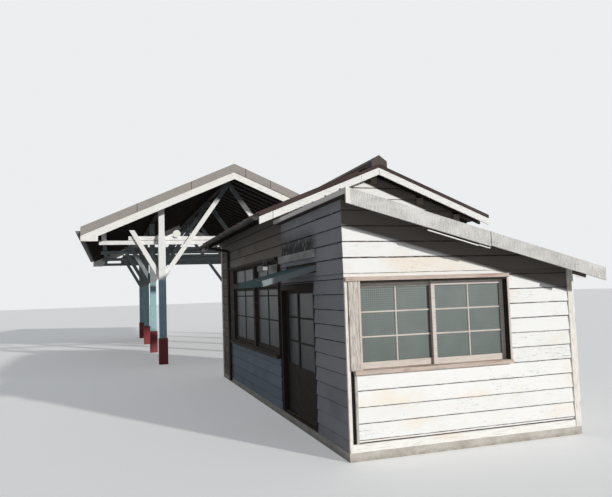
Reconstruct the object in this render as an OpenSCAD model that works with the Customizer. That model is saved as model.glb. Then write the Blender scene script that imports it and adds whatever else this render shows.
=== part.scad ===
// Small timber railway station building: a gabled hall, a lean-to annex in
// front of it, and a gabled platform canopy on braced posts behind it.
// X runs across the building, from the track side to the hill side.
// Y runs along the track, from the annex towards the canopy. Z is up.
// The origin is the middle of the building's plan, under its foundation.

/* [Building] */
// Width over the wall frames
body_w = 2860; // [2600:10:3200]
// Length of the annex, from its front to the gable wall
annex_l = 2460; // [2440:10:2600]
// Length of the hall, from the gable wall to the rear
main_l = 4740; // [4600:10:5400]
// Thickness of the walls
wall_t = 120; // [110:5:135]
// Height of the concrete foundation
plinth_h = 90; // [60:5:120]
// How far the foundation stands out from the walls
plinth_out = 24; // [10:1:40]
// Thickness of the timber floor
floor_t = 20; // [15:1:30]
// Thickness of the boarding on the walls
siding_t = 20; // [15:1:25]

/* [Corner and skirting boards] */
// Width of a corner board
corner_w = 56; // [45:1:70]
// How far corner boards stand out from the wall frames
corner_t = 28; // [24:1:34]
// Width of the upright strip at the front left corner
strip_w = 36; // [28:1:44]
// Height of the skirting boards
skirt_h = 82; // [60:1:110]
// How far skirting boards stand out from the wall frames
skirt_t = 23; // [18:1:26]

/* [Hall roof] */
// Height of the ridge
main_ridge_z = 3583; // [3500:10:3800]
// Pitch of the hall roof in degrees
main_pitch = 22; // [20:0.5:23]
// Overhang of the eaves past the wall frames
main_eave = 390; // [340:10:440]
// Overhang of the verges past the gable walls
main_verge = 360; // [300:10:420]
// Thickness of the roof boarding and sheet
deck_t = 45; // [35:1:55]
// Depth of a barge board
barge_h = 95; // [80:1:98]
// Thickness of a barge board
barge_t = 24; // [18:1:30]
// Depth of a verge rafter
rafter_h = 72; // [60:1:78]
// Width of a verge rafter
rafter_w = 50; // [40:1:60]
// Depth of a purlin
purlin_h = 100; // [80:5:120]
// Width of a purlin
purlin_w = 100; // [80:5:120]
// Distance of the middle purlins from the ridge
purlin_x = 760; // [650:10:900]
// How far the front gable stands forward over the annex roof
gable_out = 100; // [60:5:140]

/* [Ridge cap] */
// Width of the ridge cap
cap_w = 245; // [180:5:280]
// Height of the ridge cap over the ridge
cap_h = 134; // [100:1:150]
// Height of the cap's upright sides
cap_side_h = 90; // [60:1:105]

/* [Annex roof] */
// Height of the annex roof at its high edge
annex_high_z = 2782; // [2700:2:2786]
// Pitch of the annex roof in degrees
annex_pitch = 15.3; // [14.5:0.1:15.8]
// Overhang of the annex roof on the track side
annex_eave_t = 78; // [70:2:120]
// Overhang of the annex roof on the hill side
annex_eave_h = 170; // [120:10:250]
// Overhang of the annex roof in front
annex_eave_f = 346; // [250:2:420]
// Depth of the left fascia board
fascia_h = 162; // [120:2:180]
// Depth of the right fascia board
fascia_right_h = 150; // [120:2:170]
// Depth of the boards along the roof's sides
fascia_side_h = 50; // [40:2:70]
// Thickness of the fascia boards
fascia_t = 24; // [18:1:30]
// Distance of the fascia joint from the middle, to the right
fascia_joint_x = 120; // [-300:10:500]

/* [Front window] */
// Distance of the left window opening edge from the wall's track end
fw_off = 150; // [140:5:250]
// Clear width between the window jambs
fw_w = 1805; // [1500:5:1900]
// Height of the window sill's top
fw_sill_z = 921; // [850:1:1000]
// Clear height of the window
fw_h = 905; // [800:5:920]
// Thickness of the window linings
lining_t = 24; // [20:1:30]
// Width of the left jamb board of the other windows
fw_jamb_w = 123; // [60:1:140]
// Height of the drip board over the window
drip_h = 43; // [30:1:60]
// How far drip boards and sills stand out from the wall frames
drip_out = 66; // [45:1:90]
// Height of the sill's front edge
sill_h = 46; // [30:1:60]
// Distance of the front sill's left end from the jamb board's edge
sill_in = 40; // [20:5:60]
// How far window frames stand out past the boarding
frame_proud = 26; // [14:2:36]

/* [Sashes] */
// Width of a sash stile and top rail
stile_w = 44; // [35:1:60]
// Height of a sash bottom rail
sash_foot_h = 66; // [50:1:90]
// Thickness of a sash
sash_t = 30; // [24:1:34]
// Depth of the outer sash behind the wall frame's face
sash_in = 44; // [28:1:48]
// Gap between the two sash planes
sash_gap = 6; // [4:1:10]
// Thickness of the glass
glass_t = 4; // [3:0.5:6]

/* [Platform window] */
// Length of the platform window along the track
pw_l = 3280; // [3000:10:3300]
// Length of its bay next to the door
pw_near_l = 1475; // [1300:5:1600]
// Width of the board at its far end
pw_board_w = 262; // [200:2:280]
// Depth of its sashes behind the wall frame's face
pw_in = 12; // [6:1:30]
// Height of the platform window sill's top
pw_sill_z = 878; // [800:1:960]
// Height of the transom rail's underside
pw_transom_z = 1850; // [1780:5:1900]
// Height of the transom rail
transom_h = 96; // [60:1:120]
// Height of the transom lights
light_h = 258; // [200:2:300]
// Width of the mullion between the platform sashes
mullion_w = 110; // [80:2:140]

/* [Other windows] */
// Width of the window in the hill side
hw_w = 1805; // [1500:5:2400]
// Width of the window in the rear
rw_w = 1400; // [1200:5:1800]

/* [Door] */
// Clear width of the doorway
door_w = 1400; // [1300:10:1420]
// Thickness of the door jambs
jamb_t = 30; // [24:1:36]
// Height of the threshold board
sill_board_t = 25; // [20:1:30]
// Height of the door head's underside
door_head_z = 1782; // [1740:2:1790]
// Height of the door head
door_head_h = 78; // [60:2:90]
// Thickness of a door leaf
leaf_t = 30; // [26:1:34]
// Depth of the outer leaf behind the wall frame's face
leaf_in = 5; // [0:1:12]
// Gap between the planes of the two leaves
leaf_gap = 18; // [16:1:24]
// Width of a leaf stile
leaf_stile = 50; // [40:1:60]
// Height of the leaf's middle rail underside
mid_rail_z = 700; // [600:5:800]
// Height of the middle rail
mid_rail_h = 70; // [50:2:90]
// Height of the leaf's bottom rail
leaf_foot_h = 90; // [70:2:120]
// Height of the leaf's top rail
leaf_head_h = 55; // [45:1:70]
// Thickness of the leaf's lower panel
panel_t = 14; // [10:1:18]
// Height of the floor rails that the leaves run on
rail_h = 6; // [4:1:10]
// Width of a floor rail
rail_w = 6; // [5:1:10]
// Side clearance of a leaf in the head's groove
groove_gap = 5; // [5:0.5:6]
// Running clearance of a leaf over its rail
run_gap = 0.3; // [0.2:0.1:1]
// Gap between a closed leaf and its jamb
leaf_edge_gap = 5; // [5:0.5:8]

/* [Awning over the door] */
// Projection of the awning from the wall frame
awning_out = 680; // [550:10:760]
// Height of the awning's top at the wall
awning_z = 2075; // [2060:5:2100]
// Fall of the awning over its projection
awning_fall = 182; // [120:2:186]
// Overhang of the awning before the doorway
awning_near = 150; // [80:5:200]
// Length of the awning along the wall
awning_l = 1300; // [1200:10:1560]
// Thickness of the awning's top boards
awning_t = 20; // [16:1:26]
// Depth of the awning's rake boards
awning_rake = 46; // [36:1:48]
// Thickness of the awning's rake boards
awning_board = 30; // [20:1:40]

/* [Gutters] */
// Radius of a gutter
gutter_r = 50; // [40:1:60]
// Thickness of gutter sheet
gutter_t = 3; // [2:0.5:5]
// Radius of the downpipe
pipe_r = 28; // [20:1:34]
// Distance of the downpipe from the rear wall
pipe_off = 930; // [700:10:1000]
// Height of the downpipe's foot over the ground
pipe_foot_z = 40; // [20:5:120]

/* [Canopy] */
// Distance from the building's rear wall to the canopy's front
canopy_gap = 2480; // [1500:20:4000]
// Offset of the canopy's ridge from the building's middle
canopy_x = -627; // [-1200:1:0]
// Half of the canopy's width
canopy_half = 3800; // [3500:10:4200]
// Height of the canopy's ridge
canopy_ridge_z = 5160; // [5000:10:5400]
// Pitch of the canopy roof in degrees
canopy_pitch = 23.7; // [22.5:0.1:24.5]
// Thickness of the canopy's roof
canopy_deck_t = 60; // [45:1:75]
// Number of bays
canopy_bays = 3; // [2:1:6]
// Length of a bay
bay_l = 3640; // [3000:10:4000]
// Overhang of the canopy past its end posts
canopy_verge = 800; // [500:10:1000]
// Distance of the posts from the ridge line
post_x = 1823; // [1600:1:2000]
// Width of a post
post_w = 180; // [150:1:200]
// Width of a post over the ties
post_top_w = 150; // [120:5:180]
// Width of a post's boot
boot_w = 226; // [205:1:260]
// Height of a post's boot
boot_h = 670; // [400:10:800]
// Thickness of the tie beams
tie_t = 70; // [50:1:90]
// Height of the lower tie's underside
tie_z = 3130; // [3000:5:3180]
// Depth of a tie beam
tie_h = 108; // [90:1:115]
// Reach of the lower tie from the ridge line
tie_low_x = 3390; // [3300:10:3500]
// Reach of the upper tie from the ridge line
tie_up_x = 2660; // [2500:10:2900]
// Depth of a brace
brace_w = 118; // [90:1:130]
// Height at which the braces meet the posts
brace_z = 2330; // [2200:10:2450]
// Angle of the outer braces from level, in degrees
brace_deg = 60.5; // [56:0.5:64]
// Height at which the outer braces end
brace_top_z = 3500; // [3420:5:3560]
// Thickness of the braces
brace_t = 70; // [50:1:80]
// Depth of a canopy purlin
beam_h = 150; // [120:2:180]
// Width of a canopy purlin
beam_w = 120; // [100:2:140]
// Distance of the outer purlins from the ridge line
outer_x = 3270; // [3200:5:3300]
// Depth of the white barge board under the roof's top
canopy_barge = 400; // [340:5:430]
// Thickness of the canopy's barge boards
canopy_barge_t = 24; // [18:1:30]
// Depth of the grey verge board
verge_h = 215; // [160:5:260]
// Thickness of the grey verge board
verge_t = 26; // [20:1:34]
// Height of the level foot of the barge board
barge_foot_z = 3145; // [3100:5:3200]
// Width of the level foot of the barge board
barge_foot_w = 400; // [300:10:500]

/* [Lamps] */
// Length of the lamp over the platform window
lamp_l = 340; // [200:10:500]
// Height of that lamp
lamp_h = 80; // [60:2:110]
// Drop of that lamp's underside from the drip board
lamp_drop = 138; // [100:2:200]
// Distance of that lamp from the window's near end
lamp_off = 380; // [100:10:1500]
// Thickness of that lamp's straps
lamp_strap_t = 5; // [3:1:8]
// Diameter of the round lamp under the canopy
round_lamp_d = 200; // [150:5:240]

/* [Hidden] */

$fn = 48;
cut = 10;
// Seating gap under a sloping roof board
seat = 0.1;
// How far two shapes of one solid run into each other
weld = 1;

// Grid lines of the walls
x_t = -body_w / 2;
x_h = body_w / 2;
y_f = -(annex_l + main_l) / 2;
y_g = y_f + annex_l;
y_r = y_f + annex_l + main_l;

// Hall roof
main_slope = tan(main_pitch);
deck_v = deck_t / cos(main_pitch);
barge_v = barge_h / cos(main_pitch);
rafter_v = rafter_h / cos(main_pitch);
main_half = body_w / 2 + main_eave;
// Underside of the eave purlins, where the rear corner boards end
plate_z = main_under(body_w / 2) - rafter_v - purlin_h - 3 * seat;
gable_y = y_g - gable_out;
verge_f = y_g - main_verge;
verge_r = y_r + main_verge;
function main_top(x) = main_ridge_z - main_slope * abs(x);
function main_under(x) = main_top(x) - deck_v;
function hall_seat(x) = main_under(x) - seat;

// Annex roof
annex_slope = tan(annex_pitch);
annex_deck_v = deck_t / cos(annex_pitch);
annex_x0 = x_t - annex_eave_t;
annex_x1 = x_h + annex_eave_h;
annex_front = y_f - annex_eave_f;
function annex_top(x) = annex_high_z - annex_slope * (x - annex_x0);
function annex_under(x) = annex_top(x) - annex_deck_v;
function annex_seat(x) = annex_under(x) - seat;

// Front window
fw_x0 = x_t + fw_off;
fw_x1 = fw_x0 + fw_w;
frame_out = siding_t + frame_proud;
// Left edges of the front corner strip and of the front window's jamb board
strip_x = x_t - siding_t;
fw_left_w = fw_x0 - lining_t - strip_x - strip_w;
sash_in2 = sash_in + sash_t + sash_gap;

// Platform window
pw_y0 = y_g + wall_t + lining_t;
pw_y1 = pw_y0 + pw_l;
pw_light_z = pw_transom_z + transom_h;
pw_top_z = pw_light_z + light_h;

// Hill and rear windows
hw_y0 = (y_g + y_r) / 2 - hw_w / 2;
rw_x0 = -rw_w / 2;

// Door
door_y1 = y_g - jamb_t;
door_y0 = door_y1 - door_w;
leaf_w = (door_w + leaf_stile) / 2 - leaf_edge_gap;
leaf_in2 = leaf_in + leaf_t + leaf_gap;
leaf_z0 = plinth_h + sill_board_t + rail_h + run_gap;
groove_h = 14;
// Running clearance of a leaf under the head's groove
head_gap = 6;
leaf_z1 = door_head_z + groove_h - head_gap;

// Canopy
cy_v = y_r + canopy_gap;
cy_end = cy_v + 2 * canopy_verge + canopy_bays * bay_l;
canopy_slope = tan(canopy_pitch);
canopy_deck_v = canopy_deck_t / cos(canopy_pitch);
roof_drop = 30;
function post_y(i) = cy_v + canopy_verge + i * bay_l;
// Heights of the canopy's roof at a distance from its ridge line
function canopy_line(d) = canopy_ridge_z - canopy_slope * abs(d);
function canopy_top(d) = canopy_line(d) - roof_drop;
function canopy_under(d) = canopy_top(d) - canopy_deck_v;
function canopy_seat(d) = canopy_under(d) - seat;
tie_y0 = post_w / 2;
// Extra depth of the ridge purlin, and drop of the inner braces' heads from its underside
ridge_more = 60;
brace_drop = 70;
ridge_beam_z = canopy_under(0) - beam_h - ridge_more;

timber = "#4a3f38";
white = "#e8e6df";
grey_white = "#b9b6ae";

// Helpers

// A profile in X and Z, drawn out from y0 to y1
module along_y(y0, y1, points) {
    translate([0, y1, 0]) rotate([90, 0, 0]) linear_extrude(y1 - y0) polygon(points);
}

// A box between two corners
module span_box(a, b) {
    translate(a) cube([b[0] - a[0], b[1] - a[1], b[2] - a[2]]);
}

// Wall faces: u runs along the wall, d goes inwards from the wall frame's face
module on_front() { translate([0, y_f, 0]) children(); }
module on_rear() { translate([0, y_r, 0]) mirror([0, 1, 0]) children(); }
module on_track() { translate([x_t, 0, 0]) mirror([1, -1, 0]) children(); }
module on_hill() { translate([x_h, 0, 0]) rotate([0, 0, 90]) children(); }

// A ring in the wall's plane, such as a sash or a lining
module ring(u0, u1, d0, d1, z0, z1, side, head, foot) {
    difference() {
        span_box([u0, d0, z0], [u1, d1, z1]);
        span_box([u0 + side, d0 - cut, z0 + foot], [u1 - side, d1 + cut, z1 - head]);
    }
}

// The lining of a window, in the hole that window_hole cuts
module lining(u0, u1, z0, z1) {
    ring(u0 - lining_t, u1 + lining_t, -frame_out, wall_t, z0 - lining_t, z1 + lining_t,
         lining_t, lining_t, lining_t);
}

module window_hole(u0, u1, z0, z1) {
    span_box([u0 - lining_t, -cut, z0 - lining_t], [u1 + lining_t, wall_t + cut, z1 + lining_t]);
}

// Drip board above a window, sill board below it and jamb board on its left
module window_trim(u0, u1, z0, z1, left_w, drip_more) {
    left = u0 - lining_t - left_w;
    right = u1 + lining_t;
    span_box([left - drip_more, -drip_out, z1 + lining_t], [right, 0, z1 + lining_t + drip_h]);
    span_box([left + sill_in, -drip_out, z0 - lining_t - sill_h], [right, 0, z0 - lining_t]);
    span_box([left, -frame_out, z0 - lining_t], [u0 - lining_t, 0, z1 + lining_t]);
}

// A sash frame and its glass between u0 and u1, at depth d
module sash(u0, u1, z0, z1, d) {
    ring(u0, u1, d, d + sash_t, z0, z1, stile_w, stile_w, sash_foot_h);
}

module pane(u0, u1, z0, z1, d) {
    span_box([u0 + stile_w, d + sash_t / 2 - glass_t / 2, z0 + sash_foot_h],
             [u1 - stile_w, d + sash_t / 2 + glass_t / 2, z1 - stile_w]);
}

// Width of each of a window's two sliding sashes, which overlap by a stile
function sash_span(u0, u1) = (u1 - u0 + stile_w) / 2;

module sash_pair(u0, u1, z0, z1, inner_first) {
    w = sash_span(u0, u1);
    sash(u0, u0 + w, z0, z1, inner_first ? sash_in2 : sash_in);
    sash(u1 - w, u1, z0, z1, inner_first ? sash_in : sash_in2);
}

module pane_pair(u0, u1, z0, z1, inner_first) {
    w = sash_span(u0, u1);
    pane(u0, u0 + w, z0, z1, inner_first ? sash_in2 : sash_in);
    pane(u1 - w, u1, z0, z1, inner_first ? sash_in : sash_in2);
}

// Foundation and floor

module foundation() color("#a59d92")
    span_box([x_t - plinth_out, y_f - plinth_out, 0], [x_h + plinth_out, y_r + plinth_out, plinth_h]);

module floor() color("#6b5a48")
    span_box([x_t + wall_t, y_f + wall_t, plinth_h], [x_h - wall_t, y_r - wall_t, plinth_h + floor_t]);

// Walls

// A stretch of side wall under the annex roof, from height z0
module annex_side(x0, x1, y0, y1, z0) {
    along_y(y0, y1, [[x0, z0], [x1, z0], [x1, annex_seat(x1)], [x0, annex_seat(x0)]]);
}

// A stretch of side wall under the hall roof
module hall_side(x0, x1, y0, y1) {
    along_y(y0, y1, [[x0, plinth_h], [x1, plinth_h], [x1, hall_seat(x1)], [x0, hall_seat(x0)]]);
}

module front_wall() color(white) difference() {
    annex_side(x_t, x_h, y_f, y_f + wall_t, plinth_h);
    on_front() window_hole(fw_x0, fw_x1, fw_sill_z, fw_sill_z + fw_h);
}

module track_wall_pier() color(white)
    annex_side(x_t, x_t + wall_t, y_f + wall_t, door_y0 - jamb_t, plinth_h);

module track_wall_over_door() color(white)
    annex_side(x_t, x_t + wall_t, door_y0 - jamb_t, y_g, door_head_z + door_head_h);

module annex_hill_wall() color(white)
    annex_side(x_h - wall_t, x_h, y_f + wall_t, y_g, plinth_h);

// The posts under the ends of the hall's front gable
module corner_posts() color(timber) {
    annex_side(x_t, x_t + wall_t, y_g, y_g + wall_t, plinth_h);
    annex_side(x_h - wall_t, x_h, y_g, y_g + wall_t, plinth_h);
}

// The gable's upright slab between two places, with its foot on the annex roof's slope
module gable_slab(y0, y1, foot) {
    along_y(y0, y1, [
        [x_t, annex_top(x_t) + foot], [x_h, annex_top(x_h) + foot],
        [x_h, hall_seat(x_h)], [0, hall_seat(0)], [x_t, hall_seat(x_t)]]);
}

module hall_gable_wall() color(white) difference() {
    union() {
        gable_slab(y_g, y_g + wall_t, -annex_deck_v);
        gable_slab(gable_y, y_g + weld, seat);
    }
    long_purlins();
}

module rear_wall() color(white) difference() {
    along_y(y_r - wall_t, y_r, [
        [x_t, plinth_h], [x_h, plinth_h],
        [x_h, hall_seat(x_h)], [0, hall_seat(0)], [x_t, hall_seat(x_t)]]);
    on_rear() window_hole(rw_x0, rw_x0 + rw_w, fw_sill_z, fw_sill_z + fw_h);
    long_purlins();
}

module hall_track_wall() color(white) difference() {
    hall_side(x_t, x_t + wall_t, y_g + wall_t, y_r - wall_t);
    on_track() window_hole(pw_y0, pw_y1, pw_sill_z, pw_top_z);
}

module hall_hill_wall() color(white) difference() {
    hall_side(x_h - wall_t, x_h, y_g + wall_t, y_r - wall_t);
    on_hill() window_hole(hw_y0, hw_y0 + hw_w, fw_sill_z, fw_sill_z + fw_h);
}

// A corner board: two legs round the corner at x, y, which point to dx and dy
module corner_board(x, y, dx, dy, top) {
    translate([x, y, plinth_h]) mirror([dx < 0 ? 1 : 0, 0, 0]) mirror([0, dy < 0 ? 1 : 0, 0])
        difference() {
            translate([-corner_t, -corner_t, 0])
                cube([corner_w + corner_t, corner_w + corner_t, top - plinth_h]);
            translate([0, 0, -cut]) cube([corner_w + cut, corner_w + cut, top - plinth_h + 2 * cut]);
        }
}

module corner_boards() color(white) {
    span_box([strip_x, y_f - corner_t, plinth_h],
             [strip_x + strip_w, y_f, fw_sill_z + fw_h + lining_t]);
    corner_board(x_h, y_f, -1, 1, annex_seat(x_h + corner_t));
    corner_board(x_t, y_r, 1, -1, plate_z);
    corner_board(x_h, y_r, -1, -1, plate_z);
}

module skirting_boards() color(white) {
    z1 = plinth_h + skirt_h;
    span_box([strip_x + strip_w, y_f - skirt_t, plinth_h], [x_h - corner_w, y_f, z1]);
    span_box([x_t + corner_w, y_r, plinth_h], [x_h - corner_w, y_r + skirt_t, z1]);
    on_hill() span_box([y_f + corner_w, -skirt_t, plinth_h], [y_r - corner_w, 0, z1]);
}

// Windows

module front_window_frame() color("#b59f8f") on_front() {
    lining(fw_x0, fw_x1, fw_sill_z, fw_sill_z + fw_h);
    window_trim(fw_x0, fw_x1, fw_sill_z, fw_sill_z + fw_h, fw_left_w, strip_w);
}

module front_sashes() color("#cbbfae") on_front()
    sash_pair(fw_x0, fw_x1, fw_sill_z, fw_sill_z + fw_h, true);

module front_glass() color("#8b9795", 0.5) on_front()
    pane_pair(fw_x0, fw_x1, fw_sill_z, fw_sill_z + fw_h, true);

// The platform window: two fixed bays beside a mullion, with lights over a transom
pw_mid = pw_y0 + pw_near_l;
pw_bays = [[pw_y0, pw_mid], [pw_mid + mullion_w, pw_y1]];
// How far its frame stands out past the boarding
pw_proud = 8;
pw_out = siding_t + pw_proud;

module platform_window_frame() color(timber) on_track() {
    far = pw_y1 + lining_t + pw_board_w;
    ring(pw_y0 - lining_t, pw_y1 + lining_t, -pw_out, wall_t, pw_sill_z - lining_t, pw_top_z + lining_t,
         lining_t, lining_t, lining_t);
    span_box([pw_mid, -pw_out, pw_sill_z], [pw_mid + mullion_w, wall_t, pw_top_z]);
    for (bay = pw_bays)
        span_box([bay[0], -pw_out, pw_transom_z], [bay[1], wall_t, pw_light_z]);
    span_box([pw_y0 - lining_t, -drip_out, pw_sill_z - lining_t - sill_h],
             [far, 0, pw_sill_z - lining_t]);
    span_box([pw_y0 - lining_t, -drip_out, pw_top_z + lining_t],
             [far, 0, pw_top_z + lining_t + drip_h]);
    span_box([pw_y1 + lining_t, -pw_out, pw_sill_z - lining_t], [far, 0, pw_top_z + lining_t]);
}

module platform_sashes() color(timber) on_track() for (bay = pw_bays) {
    ring(bay[0], bay[1], pw_in, pw_in + sash_t, pw_sill_z, pw_transom_z,
         stile_w, stile_w, sash_foot_h);
    ring(bay[0], bay[1], pw_in, pw_in + sash_t, pw_light_z, pw_top_z,
         stile_w, lining_t, lining_t);
}

module platform_glass() color("#8b9795", 0.5) on_track() for (bay = pw_bays) {
    d0 = pw_in + sash_t / 2 - glass_t / 2;
    span_box([bay[0] + stile_w, d0, pw_sill_z + sash_foot_h],
             [bay[1] - stile_w, d0 + glass_t, pw_transom_z - stile_w]);
    span_box([bay[0] + stile_w, d0, pw_light_z + lining_t],
             [bay[1] - stile_w, d0 + glass_t, pw_top_z - lining_t]);
}

// The windows of the hill side and the rear repeat the front window
module back_window_frames() color("#b59f8f") {
    on_hill() {
        lining(hw_y0, hw_y0 + hw_w, fw_sill_z, fw_sill_z + fw_h);
        window_trim(hw_y0, hw_y0 + hw_w, fw_sill_z, fw_sill_z + fw_h, fw_jamb_w, 0);
    }
    on_rear() {
        lining(rw_x0, rw_x0 + rw_w, fw_sill_z, fw_sill_z + fw_h);
        window_trim(rw_x0, rw_x0 + rw_w, fw_sill_z, fw_sill_z + fw_h, fw_jamb_w, 0);
    }
}

module back_sashes() color("#cbbfae") {
    on_hill() sash_pair(hw_y0, hw_y0 + hw_w, fw_sill_z, fw_sill_z + fw_h, true);
    on_rear() sash_pair(rw_x0, rw_x0 + rw_w, fw_sill_z, fw_sill_z + fw_h, false);
}

module back_glass() color("#8b9795", 0.5) {
    on_hill() pane_pair(hw_y0, hw_y0 + hw_w, fw_sill_z, fw_sill_z + fw_h, true);
    on_rear() pane_pair(rw_x0, rw_x0 + rw_w, fw_sill_z, fw_sill_z + fw_h, false);
}

// Door: two leaves that slide past each other on rails in the threshold

module leaf_groove(d) {
    span_box([door_y0, d - groove_gap, door_head_z - cut],
             [door_y1, d + leaf_t + groove_gap, door_head_z + groove_h]);
}

module door_frame() color(timber) on_track() difference() {
    span_box([door_y0 - jamb_t, -siding_t, plinth_h], [door_y1 + jamb_t, wall_t, door_head_z + door_head_h]);
    span_box([door_y0, -siding_t - cut, plinth_h + sill_board_t], [door_y1, wall_t + cut, door_head_z]);
    leaf_groove(leaf_in);
    leaf_groove(leaf_in2);
}

module door_rails() color("#8a7440") on_track()
    for (d = [leaf_in, leaf_in2])
        span_box([door_y0, d + leaf_t / 2 - rail_w / 2, plinth_h + sill_board_t],
                 [door_y1, d + leaf_t / 2 + rail_w / 2, plinth_h + sill_board_t + rail_h]);

// A leaf from u0: an open frame above a panel of upright boards
module leaf(u0, d) on_track() {
    ring(u0, u0 + leaf_w, d, d + leaf_t, mid_rail_z, leaf_z1, leaf_stile, leaf_head_h, mid_rail_h);
    ring(u0, u0 + leaf_w, d, d + leaf_t, leaf_z0, mid_rail_z + weld, leaf_stile, weld, leaf_foot_h);
    span_box([u0 + leaf_stile - weld, d + (leaf_t - panel_t) / 2, leaf_z0 + leaf_foot_h - weld],
             [u0 + leaf_w - leaf_stile + weld, d + (leaf_t + panel_t) / 2, mid_rail_z + weld]);
}

module leaf_pane(u0, d) on_track()
    span_box([u0 + leaf_stile, d + leaf_t / 2 - glass_t / 2, mid_rail_z + mid_rail_h],
             [u0 + leaf_w - leaf_stile, d + leaf_t / 2 + glass_t / 2, leaf_z1 - leaf_head_h]);

near_u = door_y0 + leaf_edge_gap;
far_u = door_y1 - leaf_w - leaf_edge_gap;

module near_leaf() color(timber) leaf(near_u, leaf_in);
module near_leaf_glass() color("#8b9795", 0.5) leaf_pane(near_u, leaf_in);
module far_leaf() color(timber) leaf(far_u, leaf_in2);
module far_leaf_glass() color("#8b9795", 0.5) leaf_pane(far_u, leaf_in2);

// Board over the awning, at two heights over its top, and the awning itself
header_low = 88;
header_high = 185;
// How far that board stands out past the boarding
header_proud = 14;

awning_y0 = door_y0 - awning_near;
awning_y1 = awning_y0 + awning_l;
awning_slope = awning_fall / awning_out;
function awning_top(d) = awning_z - awning_slope * d;

module header_board() color(grey_white) on_track()
    span_box([awning_y0, -siding_t - header_proud, awning_z + header_low],
             [y_g + wall_t / 2, 0, awning_z + header_high]);

// A profile of the awning at distance out from the wall, drawn along the wall
module awning_strip(y0, y1, d0, d1, drop0, drop1) {
    along_y(y0, y1, [
        [x_t - d0, awning_top(d0) - drop0], [x_t - d1, awning_top(d1) - drop0],
        [x_t - d1, awning_top(d1) - drop1], [x_t - d0, awning_top(d0) - drop1]]);
}

module awning_frame() color("#c4cfd6") {
    top = awning_t + seat;
    low = awning_t + awning_rake;
    // Front board, ledger and the rakes between them
    awning_strip(awning_y0, awning_y1, awning_out - awning_board, awning_out, top, low);
    awning_strip(awning_y0, awning_y1, 0, awning_board, top, low);
    for (y = [awning_y0, (awning_y0 + awning_y1 - awning_board) / 2, awning_y1 - awning_board])
        awning_strip(y, y + awning_board, awning_board, awning_out - awning_board, top, low);
}

module awning_roof() color("#7fa39a")
    awning_strip(awning_y0, awning_y1, 0, awning_out, 0, awning_t);

// Width of a lamp strap, and the straps' places as shares of the lamp's length
lamp_strap_w = 30;
lamp_strap_at = [0.25, 0.75];

// Long lamp over the platform window, on two straps from the drip board
module wall_lamp() color("#30302e") on_track() translate([pw_y0 + lamp_off, -drip_out, 0]) {
    z = pw_top_z + lining_t - lamp_drop;
    span_box([0, -lamp_strap_t - lamp_h, z], [lamp_l, -lamp_strap_t, z + lamp_h]);
    for (share = lamp_strap_at) translate([lamp_l * share - lamp_strap_w / 2, 0, 0])
        span_box([0, -lamp_strap_t, z], [lamp_strap_w, 0, pw_top_z + lining_t + drip_h]);
}

// Hall roof

module hall_roof_side(dir) {
    along_y(verge_f, verge_r, [
        [0, main_top(0)], [dir * main_half, main_top(main_half)],
        [dir * main_half, main_under(main_half)], [0, main_under(0)]]);
}

module hall_roof_track() color("#5b3a33") hall_roof_side(-1);
module hall_roof_hill() color("#5b3a33") hall_roof_side(1);

// How far the ridge cap runs past the roof's verges
cap_out = 6;

module ridge_cap() color("#77716a") {
    w = cap_w / 2;
    along_y(verge_f - cap_out, verge_r + cap_out, [
        [0, main_top(0)], [w, main_top(w)], [w, main_top(w) + cap_side_h],
        [0, main_top(0) + cap_h], [-w, main_top(w) + cap_side_h], [-w, main_top(w)]]);
}

// A pair of boards under the roof, mitred at the ridge
module gable_pair(y0, y1, depth, inset) {
    half = main_half - inset;
    along_y(y0, y1, [
        [0, hall_seat(0)], [half, hall_seat(half)], [half, hall_seat(half) - depth],
        [0, hall_seat(0) - depth], [-half, hall_seat(half) - depth], [-half, hall_seat(half)]]);
}

// Distance of a barge board from the roof's edge, and of the rafters' ends from the eaves
barge_in = 10;
rafter_in = 20;

module barge_boards() color(white) {
    gable_pair(verge_f + barge_in, verge_f + barge_in + barge_t, barge_v, 0);
    gable_pair(verge_r - barge_in - barge_t, verge_r - barge_in, barge_v, 0);
}

module verge_rafters() color(timber) {
    gable_pair(gable_y - rafter_w, gable_y, rafter_v, rafter_in);
    gable_pair(y_r, y_r + rafter_w, rafter_v, rafter_in);
}

// Purlins lie under the verge rafters: the ridge and middle ones run through the gables
module purlin(x, y0, y1) {
    z = hall_seat(abs(x) + purlin_w / 2) - rafter_v - seat;
    span_box([x - purlin_w / 2, y0, z - purlin_h], [x + purlin_w / 2, y1, z]);
}

purlin_f = gable_y - rafter_w;
purlin_r = verge_r - barge_in - barge_t;

module long_purlins() {
    for (x = [-purlin_x, 0, purlin_x]) purlin(x, purlin_f, purlin_r);
}

module purlins() color(timber) {
    long_purlins();
    for (x = [x_t + purlin_w / 2, x_h - purlin_w / 2]) {
        purlin(x, purlin_f, gable_y);
        purlin(x, y_r, purlin_r);
    }
}

// A half-round gutter along Y, with a flat back against an eave at x, and closed ends
module half_pipe(x, dir, y0, y1, z, r) {
    translate([x + dir * r, y1, z]) rotate([90, 0, 0]) difference() {
        linear_extrude(y1 - y0) difference() {
            circle(r);
            translate([-2 * r, 0]) square([4 * r, 2 * r]);
        }
        translate([0, 0, gutter_t]) linear_extrude(y1 - y0 - 2 * gutter_t) circle(r - gutter_t);
    }
    translate([x + (dir > 0 ? 0 : -gutter_t), y0, z]) cube([gutter_t, y1 - y0, gutter_back_h]);
}

// Height of a gutter's flat back over its trough
gutter_back_h = 30;
// Distance of the gutter's ends from the roof's verges
gutter_in = 20;
gutter_z = main_under(main_half);
// Heights of the downpipe's straps, and the width and height of each
strap_z = [500, 1400, 2300];
strap_w = 24;
// How deep a strap holds in the pipe
strap_hold = 6;
// Gap between the downpipe and the boarding
pipe_gap = 4;
// Heights of the outlet's upright end and of the slanted run under it
outlet_h = 60;
swan_h = 70;

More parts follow.
